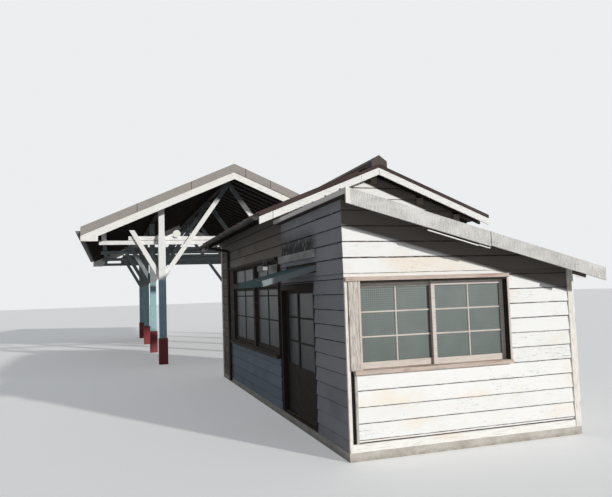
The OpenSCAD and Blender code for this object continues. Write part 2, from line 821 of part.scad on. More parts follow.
module gutter() color("#8d8f8c")
    half_pipe(-main_half, -1, verge_f + gutter_in, verge_r - gutter_in, gutter_z, gutter_r);

// A pipe with round elbows through a list of points
module pipe_run(points, r) {
    for (i = [0 : len(points) - 2]) {
        a = points[i];
        v = points[i + 1] - a;
        translate(a) rotate([0, acos(v[2] / norm(v)), atan2(v[1], v[0])]) cylinder(r = r, h = norm(v));
        if (i > 0) translate(a) sphere(r);
    }
}

module downpipe() color("#3c3a38") {
    x_wall = x_t - siding_t - pipe_r - pipe_gap;
    x_out = -main_half - gutter_r;
    y = y_r - pipe_off;
    z_out = gutter_z - gutter_r;
    pipe_run([[x_out, y, z_out], [x_out, y, z_out - outlet_h],
              [x_wall, y, z_out - outlet_h - swan_h], [x_wall, y, pipe_foot_z]], pipe_r);
    for (z = strap_z)
        span_box([x_wall - strap_hold, y - strap_w / 2, z], [x_t, y + strap_w / 2, z + strap_w]);
}

// Annex roof

module annex_roof() color("#5b3a33")
    along_y(annex_front, y_g, [
        [annex_x0, annex_top(annex_x0)], [annex_x1, annex_top(annex_x1)],
        [annex_x1, annex_under(annex_x1)], [annex_x0, annex_under(annex_x0)]]);

// A sloping fascia board between two places across the front
module front_fascia(x0, x1, depth) {
    along_y(annex_front - fascia_t, annex_front, [
        [x0, annex_top(x0)], [x1, annex_top(x1)],
        [x1, annex_top(x1) - depth], [x0, annex_top(x0) - depth]]);
}

module annex_fascia() color(grey_white) {
    joint = 3;
    front_fascia(annex_x0 - fascia_t, fascia_joint_x, fascia_h);
    front_fascia(fascia_joint_x + joint, annex_x1 + fascia_t, fascia_right_h);
    span_box([annex_x0 - fascia_t, annex_front, annex_top(annex_x0) - fascia_side_h],
             [annex_x0, y_g, annex_top(annex_x0)]);
    span_box([annex_x1, annex_front, annex_top(annex_x1) - fascia_side_h],
             [annex_x1 + fascia_t, y_g, annex_top(annex_x1)]);
}

// Platform canopy: every truss stands on two posts

module each_post() {
    for (i = [0 : canopy_bays], side = [-1, 1])
        translate([canopy_x + side * post_x, post_y(i), 0]) children();
}

module canopy_post_boots() color("#5a1f22")
    each_post() translate([-boot_w / 2, -boot_w / 2, 0]) cube([boot_w, boot_w, boot_h]);

post_top_z = canopy_under(post_x + beam_w / 2) - beam_h;

module canopy_posts() color("#a8b4bb") each_post() {
    shoulder = tie_z + 2 * tie_h;
    translate([-post_w / 2, -post_w / 2, boot_h]) cube([post_w, post_w, shoulder - boot_h]);
    translate([-post_top_w / 2, post_w / 2 - post_top_w, shoulder])
        cube([post_top_w, post_top_w, post_top_z - shoulder - seat]);
}

module canopy_ties() color(white)
    for (i = [0 : canopy_bays]) translate([canopy_x, post_y(i) + tie_y0, tie_z]) {
        translate([-tie_low_x, 0, 0]) cube([2 * tie_low_x, tie_t, tie_h]);
        translate([-tie_up_x, 0, tie_h]) cube([2 * tie_up_x, tie_t, tie_h]);
        for (side = [-1, 1]) translate([side * outer_x - beam_w / 2, 0, tie_h])
            cube([beam_w, tie_t, outer_beam_z - tie_z - tie_h]);
    }

outer_beam_z = canopy_under(outer_x + beam_w / 2) - beam_h;

// A slanted bar whose middle line starts at x, z and rises at an angle
module slanted_bar(x, z, deg, long) {
    translate([x, 0, z]) rotate([0, -deg, 0]) translate([-brace_w, tie_y0 - brace_t, -brace_w / 2])
        cube([long + brace_w, brace_t, brace_w]);
}

inner_run = post_x - post_w / 2;
inner_deg = atan((ridge_beam_z - brace_drop - brace_z) / inner_run);

module truss_braces() {
    for (side = [0, 1]) mirror([side, 0, 0]) {
        // Inner brace, from the post up to the ridge
        intersection() {
            slanted_bar(-inner_run, brace_z, inner_deg, 2 * inner_run);
            span_box([-inner_run, 0, 0], [0, tie_y0, ridge_beam_z]);
        }
        // Outer brace, which ends free above the ties
        intersection() {
            translate([-post_x - post_w / 2, 0, 0]) mirror([1, 0, 0])
                slanted_bar(0, brace_z, brace_deg, 2 * post_x);
            span_box([-canopy_half, 0, 0], [-post_x - post_w / 2, tie_y0, brace_top_z]);
        }
    }
}

module canopy_braces() color(white)
    for (i = [0 : canopy_bays]) translate([canopy_x, post_y(i), 0]) truss_braces();

// A purlin at a distance from the ridge line, its top cut to the roof's slope
module canopy_purlin(d, low) {
    translate([canopy_x, 0, 0]) along_y(cy_v, cy_end, [
        [d - beam_w / 2, low], [d + beam_w / 2, low],
        [d + beam_w / 2, canopy_seat(d + beam_w / 2)], [d, canopy_seat(d)],
        [d - beam_w / 2, canopy_seat(d - beam_w / 2)]]);
}

module canopy_purlins() color(timber) {
    canopy_purlin(0, ridge_beam_z);
    for (side = [-1, 1]) {
        canopy_purlin(side * post_x, post_top_z);
        canopy_purlin(side * outer_x, outer_beam_z);
    }
}

module canopy_side(dir) {
    translate([canopy_x, 0, 0]) along_y(cy_v, cy_end, [
        [0, canopy_top(0)], [dir * canopy_half, canopy_top(canopy_half)],
        [dir * canopy_half, canopy_under(canopy_half)], [0, canopy_under(0)]]);
}

module canopy_roof_track() color("#6e6a66") canopy_side(-1);
module canopy_roof_hill() color("#6e6a66") canopy_side(1);

// The white boards, with a level foot at each eave
module canopy_barge(y0) {
    h = canopy_half;
    f = canopy_half - barge_foot_w;
    translate([canopy_x, 0, 0]) along_y(y0, y0 + canopy_barge_t, [
        [0, canopy_line(0)], [h, canopy_line(h)], [h, barge_foot_z], [f, barge_foot_z],
        [f, canopy_line(f) - canopy_barge], [0, canopy_line(0) - canopy_barge],
        [-f, canopy_line(f) - canopy_barge], [-f, barge_foot_z], [-h, barge_foot_z],
        [-h, canopy_line(h)]]);
}

module canopy_barge_boards() color(white) {
    canopy_barge(cy_v - canopy_barge_t);
    canopy_barge(cy_end);
}

module canopy_verge(y0) {
    h = canopy_half;
    translate([canopy_x, 0, 0]) along_y(y0, y0 + verge_t, [
        [0, canopy_line(0)], [h, canopy_line(h)], [h, canopy_line(h) - verge_h],
        [0, canopy_line(0) - verge_h], [-h, canopy_line(h) - verge_h], [-h, canopy_line(h)]]);
}

module canopy_verge_boards() color("#77736e") {
    canopy_verge(cy_v - canopy_barge_t - verge_t);
    canopy_verge(cy_end + canopy_barge_t);
}

canopy_gutter_z = canopy_under(canopy_half);
// The canopy's gutters are a little wider than the hall's
canopy_gutter_r = gutter_r + 10;

module canopy_gutters() color("#8d8f8c") {
    half_pipe(canopy_x - canopy_half, -1, cy_v, cy_end, canopy_gutter_z, canopy_gutter_r);
    half_pipe(canopy_x + canopy_half, 1, cy_v, cy_end, canopy_gutter_z, canopy_gutter_r);
}

// Distance of the round lamp from the post's middle, its depth and its rise over the ties
round_lamp_in = 400;
round_lamp_t = 60;
round_lamp_up = round_lamp_d * 0.3;

// Round lamp on the ties of the first truss
module canopy_lamp() color(white)
    translate([canopy_x - post_x + round_lamp_in, post_y(0) + tie_y0, tie_z + 2 * tie_h + round_lamp_up])
        rotate([90, 0, 0]) cylinder(d = round_lamp_d, h = round_lamp_t);

foundation();
floor();
front_wall();
track_wall_pier();
track_wall_over_door();
corner_posts();
hall_track_wall();
hall_gable_wall();
rear_wall();
hall_hill_wall();
annex_hill_wall();
corner_boards();
skirting_boards();
front_window_frame();
front_sashes();
front_glass();
platform_window_frame();
platform_sashes();
platform_glass();
back_window_frames();
back_sashes();
back_glass();
door_frame();
door_rails();
near_leaf();
near_leaf_glass();
far_leaf();
far_leaf_glass();
header_board();
awning_frame();
awning_roof();
wall_lamp();
hall_roof_track();
hall_roof_hill();
ridge_cap();
barge_boards();
verge_rafters();
purlins();
gutter();
downpipe();
annex_roof();
annex_fascia();
canopy_post_boots();
canopy_posts();
canopy_ties();
canopy_braces();
canopy_purlins();
canopy_roof_track();
canopy_roof_hill();
canopy_barge_boards();
canopy_verge_boards();
canopy_gutters();
canopy_lamp();
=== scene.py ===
import math
import random

import bpy
from mathutils import Matrix, Vector


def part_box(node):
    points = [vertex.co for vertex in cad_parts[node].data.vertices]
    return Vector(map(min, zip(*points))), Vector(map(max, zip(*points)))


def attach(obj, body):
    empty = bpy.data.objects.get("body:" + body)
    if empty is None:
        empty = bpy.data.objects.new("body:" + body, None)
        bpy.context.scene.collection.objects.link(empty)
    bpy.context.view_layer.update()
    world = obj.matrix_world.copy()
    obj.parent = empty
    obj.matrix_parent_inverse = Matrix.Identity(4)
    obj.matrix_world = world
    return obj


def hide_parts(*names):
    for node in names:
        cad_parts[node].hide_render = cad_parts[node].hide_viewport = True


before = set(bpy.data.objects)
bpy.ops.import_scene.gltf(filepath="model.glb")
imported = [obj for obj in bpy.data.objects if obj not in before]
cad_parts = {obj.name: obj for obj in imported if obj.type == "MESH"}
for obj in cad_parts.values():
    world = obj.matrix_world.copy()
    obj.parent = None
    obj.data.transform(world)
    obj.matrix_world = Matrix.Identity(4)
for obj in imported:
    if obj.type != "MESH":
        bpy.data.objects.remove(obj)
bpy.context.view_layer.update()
rng = random.Random(29)
HOUSE = "building"

# Places taken from the frame, in metres
TRACK_X, FRONT_Y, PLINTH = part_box("front_wall")[0]
HILL_X, REAR_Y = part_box("rear_wall")[1][:2]
HALL_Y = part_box("annex_roof")[1].y
GABLE_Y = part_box("hall_gable_wall")[0].y
SKIRT_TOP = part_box("skirting_boards")[1].z

# The walls' thickness, the corner boards' width, the upright height of a verge rafter, and the
# thickness of the awning's roof
WALL_T = 0.120
CORNER = 0.056
RAFTER = 0.0777
AWNING_T = 0.020

# Roofs: the thickness of each deck, its pitch, and its upright thickness
DECK_T, CANOPY_DECK_T = 0.045, 0.060
HALL_PITCH, ANNEX_PITCH, CANOPY_PITCH = (math.radians(a) for a in (22, 15.3, 23.7))
HALL_SLOPE = math.tan(HALL_PITCH)
HALL_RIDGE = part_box("hall_roof_hill")[1].z
HALL_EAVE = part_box("hall_roof_hill")[1].x
HALL_DECK = DECK_T / math.cos(HALL_PITCH)
ANNEX_SLOPE = math.tan(ANNEX_PITCH)
ANNEX_LOW, ANNEX_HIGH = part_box("annex_roof")
ANNEX_DECK = DECK_T / math.cos(ANNEX_PITCH)
CANOPY_SLOPE = math.tan(CANOPY_PITCH)
CANOPY_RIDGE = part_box("canopy_roof_hill")[1].z
CANOPY_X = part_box("canopy_roof_hill")[0].x
CANOPY_DECK = CANOPY_DECK_T / math.cos(CANOPY_PITCH)
CANOPY_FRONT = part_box("canopy_posts")[0].y

# Windows: their clear openings, up the wall and along it
SASHES_LOW, SASHES_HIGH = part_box("front_sashes")
WINDOW_Z = (SASHES_LOW.z, SASHES_HIGH.z)
FRONT_WINDOW = (SASHES_LOW.x, SASHES_HIGH.x)
HILL_WINDOW = (0.3275, 2.1325)
REAR_WINDOW = (-0.700, 0.700)
# The platform window: its near bay, the post after it, and the heights of its transom and its bars
PANES_LOW, PANES_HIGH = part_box("platform_sashes")
PANES_FRAME_LOW, PANES_FRAME_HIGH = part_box("platform_window_frame")
NEAR_BAY = 1.475
MULLION = 0.110
TRANSOM = (1.850, 1.946)
PANE_BARS = (1.340, 1.711)
# Linings round an opening, with a pale edge where they stand out from the wall
LINING = 0.024
FRAME_OUT = 0.046
EDGE = 0.010
# The drip board over it and the sill under it, which starts farther in on the jamb board's side
DRIP_H = 0.043
DRIP_OUT = 0.066
SILL_H = 0.043
SILL_IN = 0.040
SILL_SUNK = 0.001
# The jamb board at one side of the hill and rear windows
BACK_JAMB = 0.123
# Sashes: the width of a stile, the height of the foot, the thickness, and the depth in the wall
STILE = 0.044
SASH_FOOT = 0.066
SASH_T = 0.030
SASH_DEPTHS = {"outer": 0.044, "inner": 0.080}
PLATFORM_DEPTH = 0.012
# Bars: their width, how far they lie inside a sash's faces, and the level ones inside the upright ones
BAR, PLATFORM_BAR, DOOR_BAR = 0.018, 0.020, 0.024
BAR_IN, LEVEL_BAR_IN = 0.003, 0.001

# Front corner, along the wall: the white strip, the slot beside it and the batten beside that
STRIP = (-1.450, -1.414)
SLOT = (STRIP[1], -1.370)
BATTEN = (SLOT[1], -1.341)
# How far the slot's board and the batten stand out, and how far the board runs up behind the sill
SLOT_OUT, BATTEN_OUT, SLOT_UP = 0.006, 0.026, 0.020
# A place to the left of the corner
PAST_CORNER = -1.5

# Door: its clear opening along the wall, the height of its head and the width of its jambs
DOOR_U = (-2.570, -1.170)
DOOR_HEAD = 1.860
JAMB = 0.030
# The boards of a leaf's panel: how many, the groove between two, their face and back from the leaf's
# middle, and the rails under and over them
PANEL_BOARDS, GROOVE = 7, 0.004
PANEL_FACE, PANEL_BACK = 0.013, 0.0065
FOOT_RAIL, LOCK_RAIL = 0.090, 0.070

# Lap boards: the courses of the lower and the upper wall, how far a board's foot stands out from the
# wall, how much less its head does, and how far the back of its foot stands off the wall
LOWER_LAP, UPPER_LAP = 0.209, 1.932
COURSE = 0.1673
LAPS = [LOWER_LAP + COURSE * i for i in range(-1, 11)]
LAPS += [UPPER_LAP + COURSE * i for i in range(11)]
BUTT, TAPER, BACK = 0.020, 0.0135, 0.0085
# How much of a board's head is hidden, the gap over the skirting, and the steps in which a board bends
HIDDEN_LAP = 0.014
SKIRT_GAP = 0.013
BOARD_STEPS = 12
# The longest board, the shortest piece of a longer course, and the gap between two
LONGEST_BOARD, SHORTEST_BOARD, BOARD_GAP = 2.9, 0.9, 0.003
# A strip of board as low as this is neither made nor cut off
SLIVER = 0.004
# How far a board may slip up or down and stand out, and the height and length of old boards' waves
SLIP, PLAY = 0.002, 0.001
WARP, WAVE = 0.005, 0.35
# The boards run up to these heights before a roof cuts them, and the gable's start at the third
OVER_ANNEX, OVER_HALL, UNDER_GABLE = 2.75, 3.5, 1.9
# The gaps between the annex roof and the boards under and over it
UNDER_SHEET, OVER_SHEET = 0.002, 0.003
# How far a hole in the boards is cut past what fills it, where other pieces cover the wall
SPARE = 0.2
PAST_JAMB = 0.010
# The heights between which the awning meets the wall
AWNING_MEETS_WALL = (1.98, 2.075)

# Purlins that come through the gables: their middles and how thick they are
PURLIN_X = (-1.38, -0.76, 0, 0.76, 1.38)
PURLIN = 0.10

# How round the edges of boards and sheets are
THIN_EDGE, PRESSED_EDGE, SAWN_EDGE, PLANED_EDGE, ROUND_EDGE = 0.001, 0.0015, 0.002, 0.003, 0.004

# Folded seams of the sheet roofs: width and height, how far apart, where they start below the ridge,
# and how far they go into the sheet
HALL_SEAM, HALL_SEAM_STEP, HALL_SEAM_TOP = (0.028, 0.030), 0.42, 0.1
CANOPY_SEAM, CANOPY_SEAM_STEP, CANOPY_SEAM_TOP = (0.030, 0.022), 0.45, 0.12
SEAM_SUNK = 0.002

# Rafters: how far apart, width and height, and how far the hall's tails go into the boards and stop
# short of the eave
RAFTER_STEP = 0.455
TAIL_W, TAIL_H = 0.045, 0.062
TAIL_SUNK, TAIL_SHORT = 0.004, 0.02
CANOPY_RAFTER_W, CANOPY_RAFTER_H = 0.050, 0.070
# The canopy's rafters run between its purlins, at these distances from the ridge
RAFTER_RUNS = ((0.05, 1.775), (1.87, 3.22), (3.32, 3.77))

# Battens behind the front fascia and the dark boards over them: the two ends of each in X and Z, how
# far in from the roof's edge they lie, and their sizes
EAVE_BATTENS = (((-0.620, 2.355), (-0.020, 2.188)), ((-0.015, 2.196), (0.125, 2.157)),
                ((1.177, 1.851), (1.359, 1.803)))
EAVE_BATTEN_IN, EAVE_BATTEN_W, EAVE_BATTEN_H = 0.008, 0.014, 0.012
EAVE_BOARD_W, EAVE_BOARD_TOP = 0.012, 0.05

# Cover board of the awning, straps of the gutter and end panel of the lamp
COVER_T, COVER_H = 0.006, 0.068
STRAP_W, STRAP_T, STRAP_CLEAR, STRAP_STEP, STRAP_SIDES = 0.02, 0.003, 0.001, 0.6, 24
LAMP_PANEL_T, LAMP_MARGIN, LAMP_PANEL_H = 0.004, 0.006, 0.056


def linear(code):
    """An sRGB hex colour as the linear RGBA that a socket takes."""
    parts = [int(code[i:i + 2], 16) / 255 for i in (1, 3, 5)]
    return [p / 12.92 if p <= 0.04045 else ((p + 0.055) / 1.055) ** 2.4 for p in parts] + [1]


def add_node(tree, kind, sockets=None, stops=None, **settings):
    """Adds a shader node, with its settings, its inputs or links, and a ramp's stops."""
    made = tree.nodes.new("ShaderNode" + kind)
    for name, value in settings.items():
        setattr(made, name, value)
    for key, value in (sockets or {}).items():
        if isinstance(value, bpy.types.NodeSocket):
            tree.links.new(value, made.inputs[key])
        else:
            made.inputs[key].default_value = value
    if stops:
        ramp = made.color_ramp
        while len(ramp.elements) < len(stops):
            ramp.elements.new(0.5)
        for element, (place, shade) in zip(ramp.elements, stops):
            element.position = place
            element.color = (shade, shade, shade, 1)
    return made


def new_material(name):
    """An empty material with its tree, its surface shader and its output."""
    material = bpy.data.materials.new(name)
    material.use_nodes = True
    tree = material.node_tree
    tree.nodes.clear()
    shader = add_node(tree, "BsdfPrincipled")
    add_node(tree, "OutputMaterial", {"Surface": shader.outputs[0]})
    return material, tree, shader


def wall_place(tree, shift=0.0):
    """Runs along any upright wall, X plus Y, and up it, so that one pattern serves every side.

    The shift moves the pattern through the wall, to another slice of it.
    """
    split = add_node(tree, "SeparateXYZ", {0: add_node(tree, "TexCoord").outputs["Object"]})
    along = add_node(tree, "Math", {0: split.outputs[0], 1: split.outputs[1]}, operation="ADD")
    place = add_node(tree, "CombineXYZ", {0: along.outputs[0], 1: shift, 2: split.outputs[2]})
    return place.outputs[0], split


def patches(tree, place, per_metre, low, high, detail=4.0, rough=0.6):
    """A mask of noise: repeats per metre along, through and up the wall, and its soft edge."""
    spread = add_node(tree, "Mapping", {"Vector": place, "Scale": per_metre})
    noise = add_node(tree, "TexNoise", {
        "Vector": spread.outputs[0], "Scale": 1.0, "Detail": detail, "Roughness": rough})
    mask = add_node(tree, "ValToRGB", {"Fac": noise.outputs["Fac"]}, [(low, 0), (high, 1)])
    return mask.outputs["Color"]


def overlap(tree, *masks):
    """The part of a surface that all the masks cover.

    A mask is a socket, or a coordinate with the place where the mask starts and the one where it is full.
    """
    whole = 1.0
    for mask in masks:
        if isinstance(mask, tuple):
            value, start, full = mask
            ramp = add_node(tree, "MapRange", {"Value": value, "From Min": start, "From Max": full})
            mask = ramp.outputs[0]
        whole = add_node(tree, "Math", {0: whole, 1: mask}, operation="MULTIPLY").outputs[0]
    return whole


def board_joints(tree, split, joints):
    """The dark gaps where boards butt: each has its axis, its place and half of its width."""
    mask = 0.0
    for axis, place, half in joints:
        gap = add_node(tree, "Math", {0: split.outputs[axis], 1: place, 2: half}, operation="COMPARE")
        mask = add_node(tree, "Math", {0: mask, 1: gap.outputs[0]}, operation="MAXIMUM").outputs[0]
    return mask


def layered(tree, ground, *layers):
    """Lays coats over a ground colour: each has its mask, how strongly it covers, and its colour."""
    colour = linear(ground)
    for mask, cover, code in layers:
        strength = add_node(tree, "Math", {0: mask, 1: cover}, operation="MULTIPLY")
        # Inputs 6 and 7 are the two colours that the node mixes
        coat = add_node(tree, "Mix", {0: strength.outputs[0], 6: colour, 7: linear(code)}, data_type="RGBA")
        colour = coat.outputs[2]
    return colour


def finish(tree, shader, colour, rough, shine=0.5, relief=None, depth=0.001):
    """Gives the shader its colour, roughness and gloss, and a relief with its depth in metres."""
    tree.links.new(colour, shader.inputs["Base Color"])
    shader.inputs["Roughness"].default_value = rough
    shader.inputs["Specular IOR Level"].default_value = shine
    if relief is not None:
        bump = add_node(tree, "Bump", {"Strength": 1.0, "Distance": depth, "Height": relief})
        tree.links.new(bump.outputs[0], shader.inputs["Normal"])


def painted_lap_boards(name, paint, faded, lap_dark, fading, wear, mildew, tones=(0.95, 1.03),
                       stain=None, painted_shade=None, scuffed=None):
    """Oil paint brushed on sawn cedar boards: chalky and dull, cracked along the grain, dark at each lap.

    Under the eaves a painted shade turns it brown, above a line along the roof's slope where the roof's
    shadow falls. A stain has its stretch along and up the wall and its colour, the painted shade has its
    slope, height and colour, and scuffed boards have their stretch along and up.
    """
    material, tree, shader = new_material(name)
    tone = add_node(tree, "Attribute", attribute_name="board_tone").outputs["Fac"]
    up = add_node(tree, "Attribute", attribute_name="board_up").outputs["Fac"]
    # Each board takes its own slice of the patterns, so that none runs on over a lap
    shift = add_node(tree, "Math", {0: tone, 1: 9.0}, operation="MULTIPLY").outputs[0]
    place, split = wall_place(tree, shift)
    x, y, z = split.outputs[0], split.outputs[1], split.outputs[2]
    # Paint thinned over places of about 600 by 400 mm, in dabs 70 mm long and 18 mm high
    bloom = overlap(tree, patches(tree, place, (1.6, 1, 2.4), 0.44, 0.72),
                    patches(tree, place, (14, 1, 55), 0.35, 0.75))
    # Cracks 170 mm long and 7 mm apart, and flakes of 30 by 12 mm, in patches of about 800 by 500 mm.
    # Real cracks lie 2 mm apart, too fine to show
    patch = patches(tree, place, (1.3, 1, 2.0), 0.44, 0.66)
    if scuffed:
        (x0, x1), (z0, z1) = scuffed
        spot = overlap(tree, (x, x0, x0 + 0.2), (x, x1, x1 - 0.2), (z, z0, z0 + 0.05), (z, z1, z1 - 0.05))
        patch = add_node(tree, "Math", {0: patch, 1: spot}, operation="MAXIMUM").outputs[0]
    cracks = overlap(tree, patches(tree, place, (6, 1, 150), 0.60, 0.64, detail=6.0, rough=0.72), patch)
    flakes = overlap(tree, patches(tree, place, (34, 1, 80), 0.65, 0.68, detail=5.0), patch)
    worn = add_node(tree, "Math", {0: cracks, 1: flakes}, operation="MAXIMUM").outputs[0]
    # Bare, dirty wood along the lower edge, and painted shadow in the lap above, under the next board's
    # foot, both darker in dashes of about 100 mm.
    # "board_up" runs from 0 at a board's foot to 1 at its hidden head
    ragged = patches(tree, place, (9, 1, 12), 0.30, 0.52)
    foot = add_node(tree, "ValToRGB", {"Fac": up}, [(0.012, 1), (0.036, 0)]).outputs["Color"]
    # Painted shadow under the foot of the board above
    lap = add_node(tree, "ValToRGB", {"Fac": up}, [(0.868, 0), (0.888, 1)]).outputs["Color"]
    dashes = add_node(tree, "MapRange", {"Value": ragged, "To Min": 0.62, "To Max": 1.0}).outputs[0]
    # Faded stretches of about 1.2 m
    layers = [(patches(tree, place, (0.8, 1, 1.3), 0.52, 0.64), fading, faded), (bloom, mildew, "#8d8a86")]
    if stain:
        (y0, y1), (z0, z1), code = stain
        # Spots of 60 by 80 mm, sharp along the stain's foot and soft at its top
        spots = patches(tree, place, (16, 1, 13), 0.30, 0.48, detail=7.0)
        stained = overlap(tree, (y, y0, y0 + 0.25), (y, y1, y1 - 0.25), (z, z0, z0 + 0.01),
                          (z, z1, z1 - 0.22), spots)
        layers.append((stained, 0.95, code))
    if painted_shade:
        slope, height, code = painted_shade
        # Painted shade: brown above a line that follows the roof's slope, where the roof's shadow falls
        rise = add_node(tree, "Math", {0: x, 1: slope, 2: z}, operation="MULTIPLY_ADD").outputs[0]
        layers.append((overlap(tree, (rise, height, height + 0.03)), 0.94, code))
    layers += [(worn, wear, "#4b4440"), (overlap(tree, foot, ragged), 0.8, lap_dark),
               (overlap(tree, lap, dashes), 1.0, lap_dark)]
    colour = layered(tree, paint, *layers)
    dull = add_node(tree, "MapRange", {"Value": tone, "To Min": tones[0], "To Max": tones[1]}).outputs[0]
    colour = add_node(tree, "VectorMath", {0: colour, "Scale": dull}, operation="SCALE").outputs[0]
    # Brush marks and grain, 4 mm apart
    grain = patches(tree, place, (5, 1, 260), 0.2, 0.8, detail=3.0)
    height = add_node(tree, "Math", {0: grain, 1: worn}, operation="SUBTRACT").outputs[0]
    finish(tree, shader, colour, rough=0.75, shine=0.15, relief=height, depth=0.0006)
    return material


def weathered_timber(name, ground, worn, dark, amount, upright=False, patch=(1.4, 9), rough=0.75,
                     joints=(), shade_tints=()):
    """Sawn cedar or pine, painted or stained by brush: dull, and worn in streaks along the grain.

    A patch is how many worn places a metre holds, along and across the grain. A shade tint is painted shade:
    an axis, the place where it starts and where it is full, and the colour there.
    """
    material, tree, shader = new_material(name)
    place, split = wall_place(tree)
    along, across = patch
    broad = (across, 1, along) if upright else (along, 1, across)
    # Grain lines about 10 mm apart and 200 mm long, coarser than the real 2 mm, so that they show
    fine = (95, 1, 5) if upright else (5, 1, 95)
    streaks = patches(tree, place, fine, 0.52, 0.66, detail=6.0, rough=0.7)
    thin = patches(tree, place, broad, 0.62 - 0.2 * amount, 0.72 - 0.1 * amount, detail=5.0)
    # The shade tints are painted shade, laid under the wear
    layers = [(overlap(tree, (split.outputs[axis], start, full)), 1.0, code)
              for axis, start, full, code in shade_tints]
    layers += [(thin, 0.85, worn), (streaks, 0.3 + 0.5 * amount, dark)]
    if joints:
        layers.append((board_joints(tree, split, joints), 1.0, "#2a2321"))
    colour = layered(tree, ground, *layers)
    finish(tree, shader, colour, rough, shine=0.15, relief=streaks, depth=0.0008)
    return material


def streaked_boards(name, paint, soot, amount, joints=(), clean=None):
    """White gloss paint brushed on planed eaves boards, dulled and streaked with black by run-off."""
    material, tree, shader = new_material(name)
    place, split = wall_place(tree)
    # Runs 8 mm apart and 120 mm long, specks of 7 mm, and soot in blotches of about 450 by 200 mm
    streaks = patches(tree, place, (130, 1, 8), 0.42, 0.66, detail=7.0, rough=0.75)
    specks = patches(tree, place, (150, 1, 150), 0.52, 0.62, detail=3.0)
    blotches = patches(tree, place, (2.2, 1, 5), 0.36, 0.66)
    layers = [(blotches, 0.55, soot), (overlap(tree, streaks, blotches), amount, "#5b5651"),
              (streaks, amount * 0.45, "#6e6963"), (specks, 0.45, "#6a655f")]
    if clean:
        x, code = clean
        layers.append((overlap(tree, (split.outputs[0], x, x - 0.02)), 0.85, code))
    if joints:
        layers.append((board_joints(tree, split, joints), 1.0, "#2f2a28"))
    colour = layered(tree, paint, *layers)
    finish(tree, shader, colour, rough=0.7, shine=0.2, relief=streaks, depth=0.0006)
    return material


def sheet_metal(name, paint, rust, amount, rough=0.6, under=None):
    """Rolled steel sheet, painted, galvanised or enamelled: smooth, faded in blotches, specked with rust."""
    material, tree, shader = new_material(name)
    place = add_node(tree, "TexCoord").outputs["Object"]
    # Blotches of about 900 mm, and rust that starts as specks of 25 mm
    specks = patches(tree, place, (38, 38, 38), 0.62 - 0.08 * amount, 0.70, detail=6.0)
    layers = [(patches(tree, place, (1.1, 1.1, 1.1), 0.40, 0.70), 0.3, "#7d7068"), (specks, amount, rust)]
    if under:
        # The sheet lies on boards, which are what shows from below
        facing = add_node(tree, "SeparateXYZ", {0: add_node(tree, "NewGeometry").outputs["Normal"]})
        layers.append((overlap(tree, (facing.outputs[2], -0.3, -0.5)), 1.0, under))
    # Pimples of the coat, drawn 17 mm apart, because the real ones of 3 mm wouldn't show
    relief = patches(tree, place, (60, 60, 60), 0.3, 0.7)
    colour = layered(tree, paint, *layers)
    finish(tree, shader, colour, rough, shine=0.3, relief=relief, depth=0.0005)
    return material


def cast_concrete():
    """Concrete cast behind rough boards: grey, sandy, darker with damp towards the ground."""
    material, tree, shader = new_material("rough_cast_concrete")
    place, split = wall_place(tree)
    # Cloudy areas of 150 mm, gravel of 8 mm, damp in runs, and pits of about 20 mm
    damp = overlap(tree, (split.outputs[2], 0.05, 0.0), patches(tree, place, (9, 1, 20), 0.35, 0.6))
    pits = patches(tree, place, (45, 1, 45), 0.25, 0.75, detail=8.0, rough=0.7)
    colour = layered(tree, "#cac5bd", (patches(tree, place, (6, 1, 9), 0.40, 0.70), 0.8, "#a8a198"),
                     (patches(tree, place, (120, 1, 120), 0.56, 0.66), 0.6, "#75706a"),
                     (damp, 0.7, "#857c70"))
    finish(tree, shader, colour, rough=0.9, shine=0.2, relief=pits, depth=0.003)
    return material


def patterned_glass(name, tint, bright):
    """Rolled window glass with a fine woven pattern, which scatters what lies behind it."""
    material, tree, shader = new_material(name)
    place = wall_place(tree)[0]
    # The real pattern repeats every 8 mm, which is drawn at 25 mm so that it shows
    wave = {"Vector": place, "Scale": 13.0, "Distortion": 1.0, "Detail": 2.0}
    lines = [add_node(tree, "TexWave", wave, bands_direction=way).outputs["Fac"] for way in ("X", "Z")]
    weave = overlap(tree, *lines)
    # Lighter patches of the bright colour are painted reflections
    colour = layered(tree, tint, (patches(tree, place, (3, 1, 3), 0.35, 0.70), 0.35, bright),
                     (weave, 0.10, "#b7c0bd"))
    finish(tree, shader, colour, rough=0.35, shine=0.35, relief=weave, depth=0.0012)
    shader.inputs["Transmission Weight"].default_value = 0.12
    return material


def plain_coat(name, code, rough, metallic=0.0, glow=0.0):
    """A rolled or pressed fitting of brass, enamelled steel or opal glass: smooth, with a little dust."""
    material, tree, shader = new_material(name)
    place = add_node(tree, "TexCoord").outputs["Object"]
    # Dust in spots of about 30 mm
    colour = layered(tree, code, (patches(tree, place, (30, 30, 30), 0.4, 0.7), 0.25, "#7d766c"))
    finish(tree, shader, colour, rough)
    shader.inputs["Metallic"].default_value = metallic
    shader.inputs["Emission Color"].default_value = linear(code)
    shader.inputs["Emission Strength"].default_value = glow
    return material


# Joints between boards: axis, place and half of the gap
BARGE_JOINTS = ((0, -1.624, 0.003), (0, -0.280, 0.002), (0, 0.0, 0.0025))
VERGE_JOINTS = tuple((0, place, 0.006) for place in (-3.1, -1.75, -0.333, 0.333, 1.6, 2.4))
TIE_JOINTS = ((2, 3.238, 0.005),)
FASCIA_JOINTS = ((0, 0.1215, 0.004),)
# The bright upper end of the front fascia
CLEAN_END = (ANNEX_LOW.x + 0.035, "#f6f3ec")
# Where rain from the eave has blackened the boards over the awning, and brought algae under the eave
# of the hall: along, up, and the colour
AWNING_STAIN = ((-2.80, -0.90), (2.26, 2.56), "#1d1b19")
DRIP_FADE = ((-1.40, 2.80), (2.26, 2.46), "#a3998f")
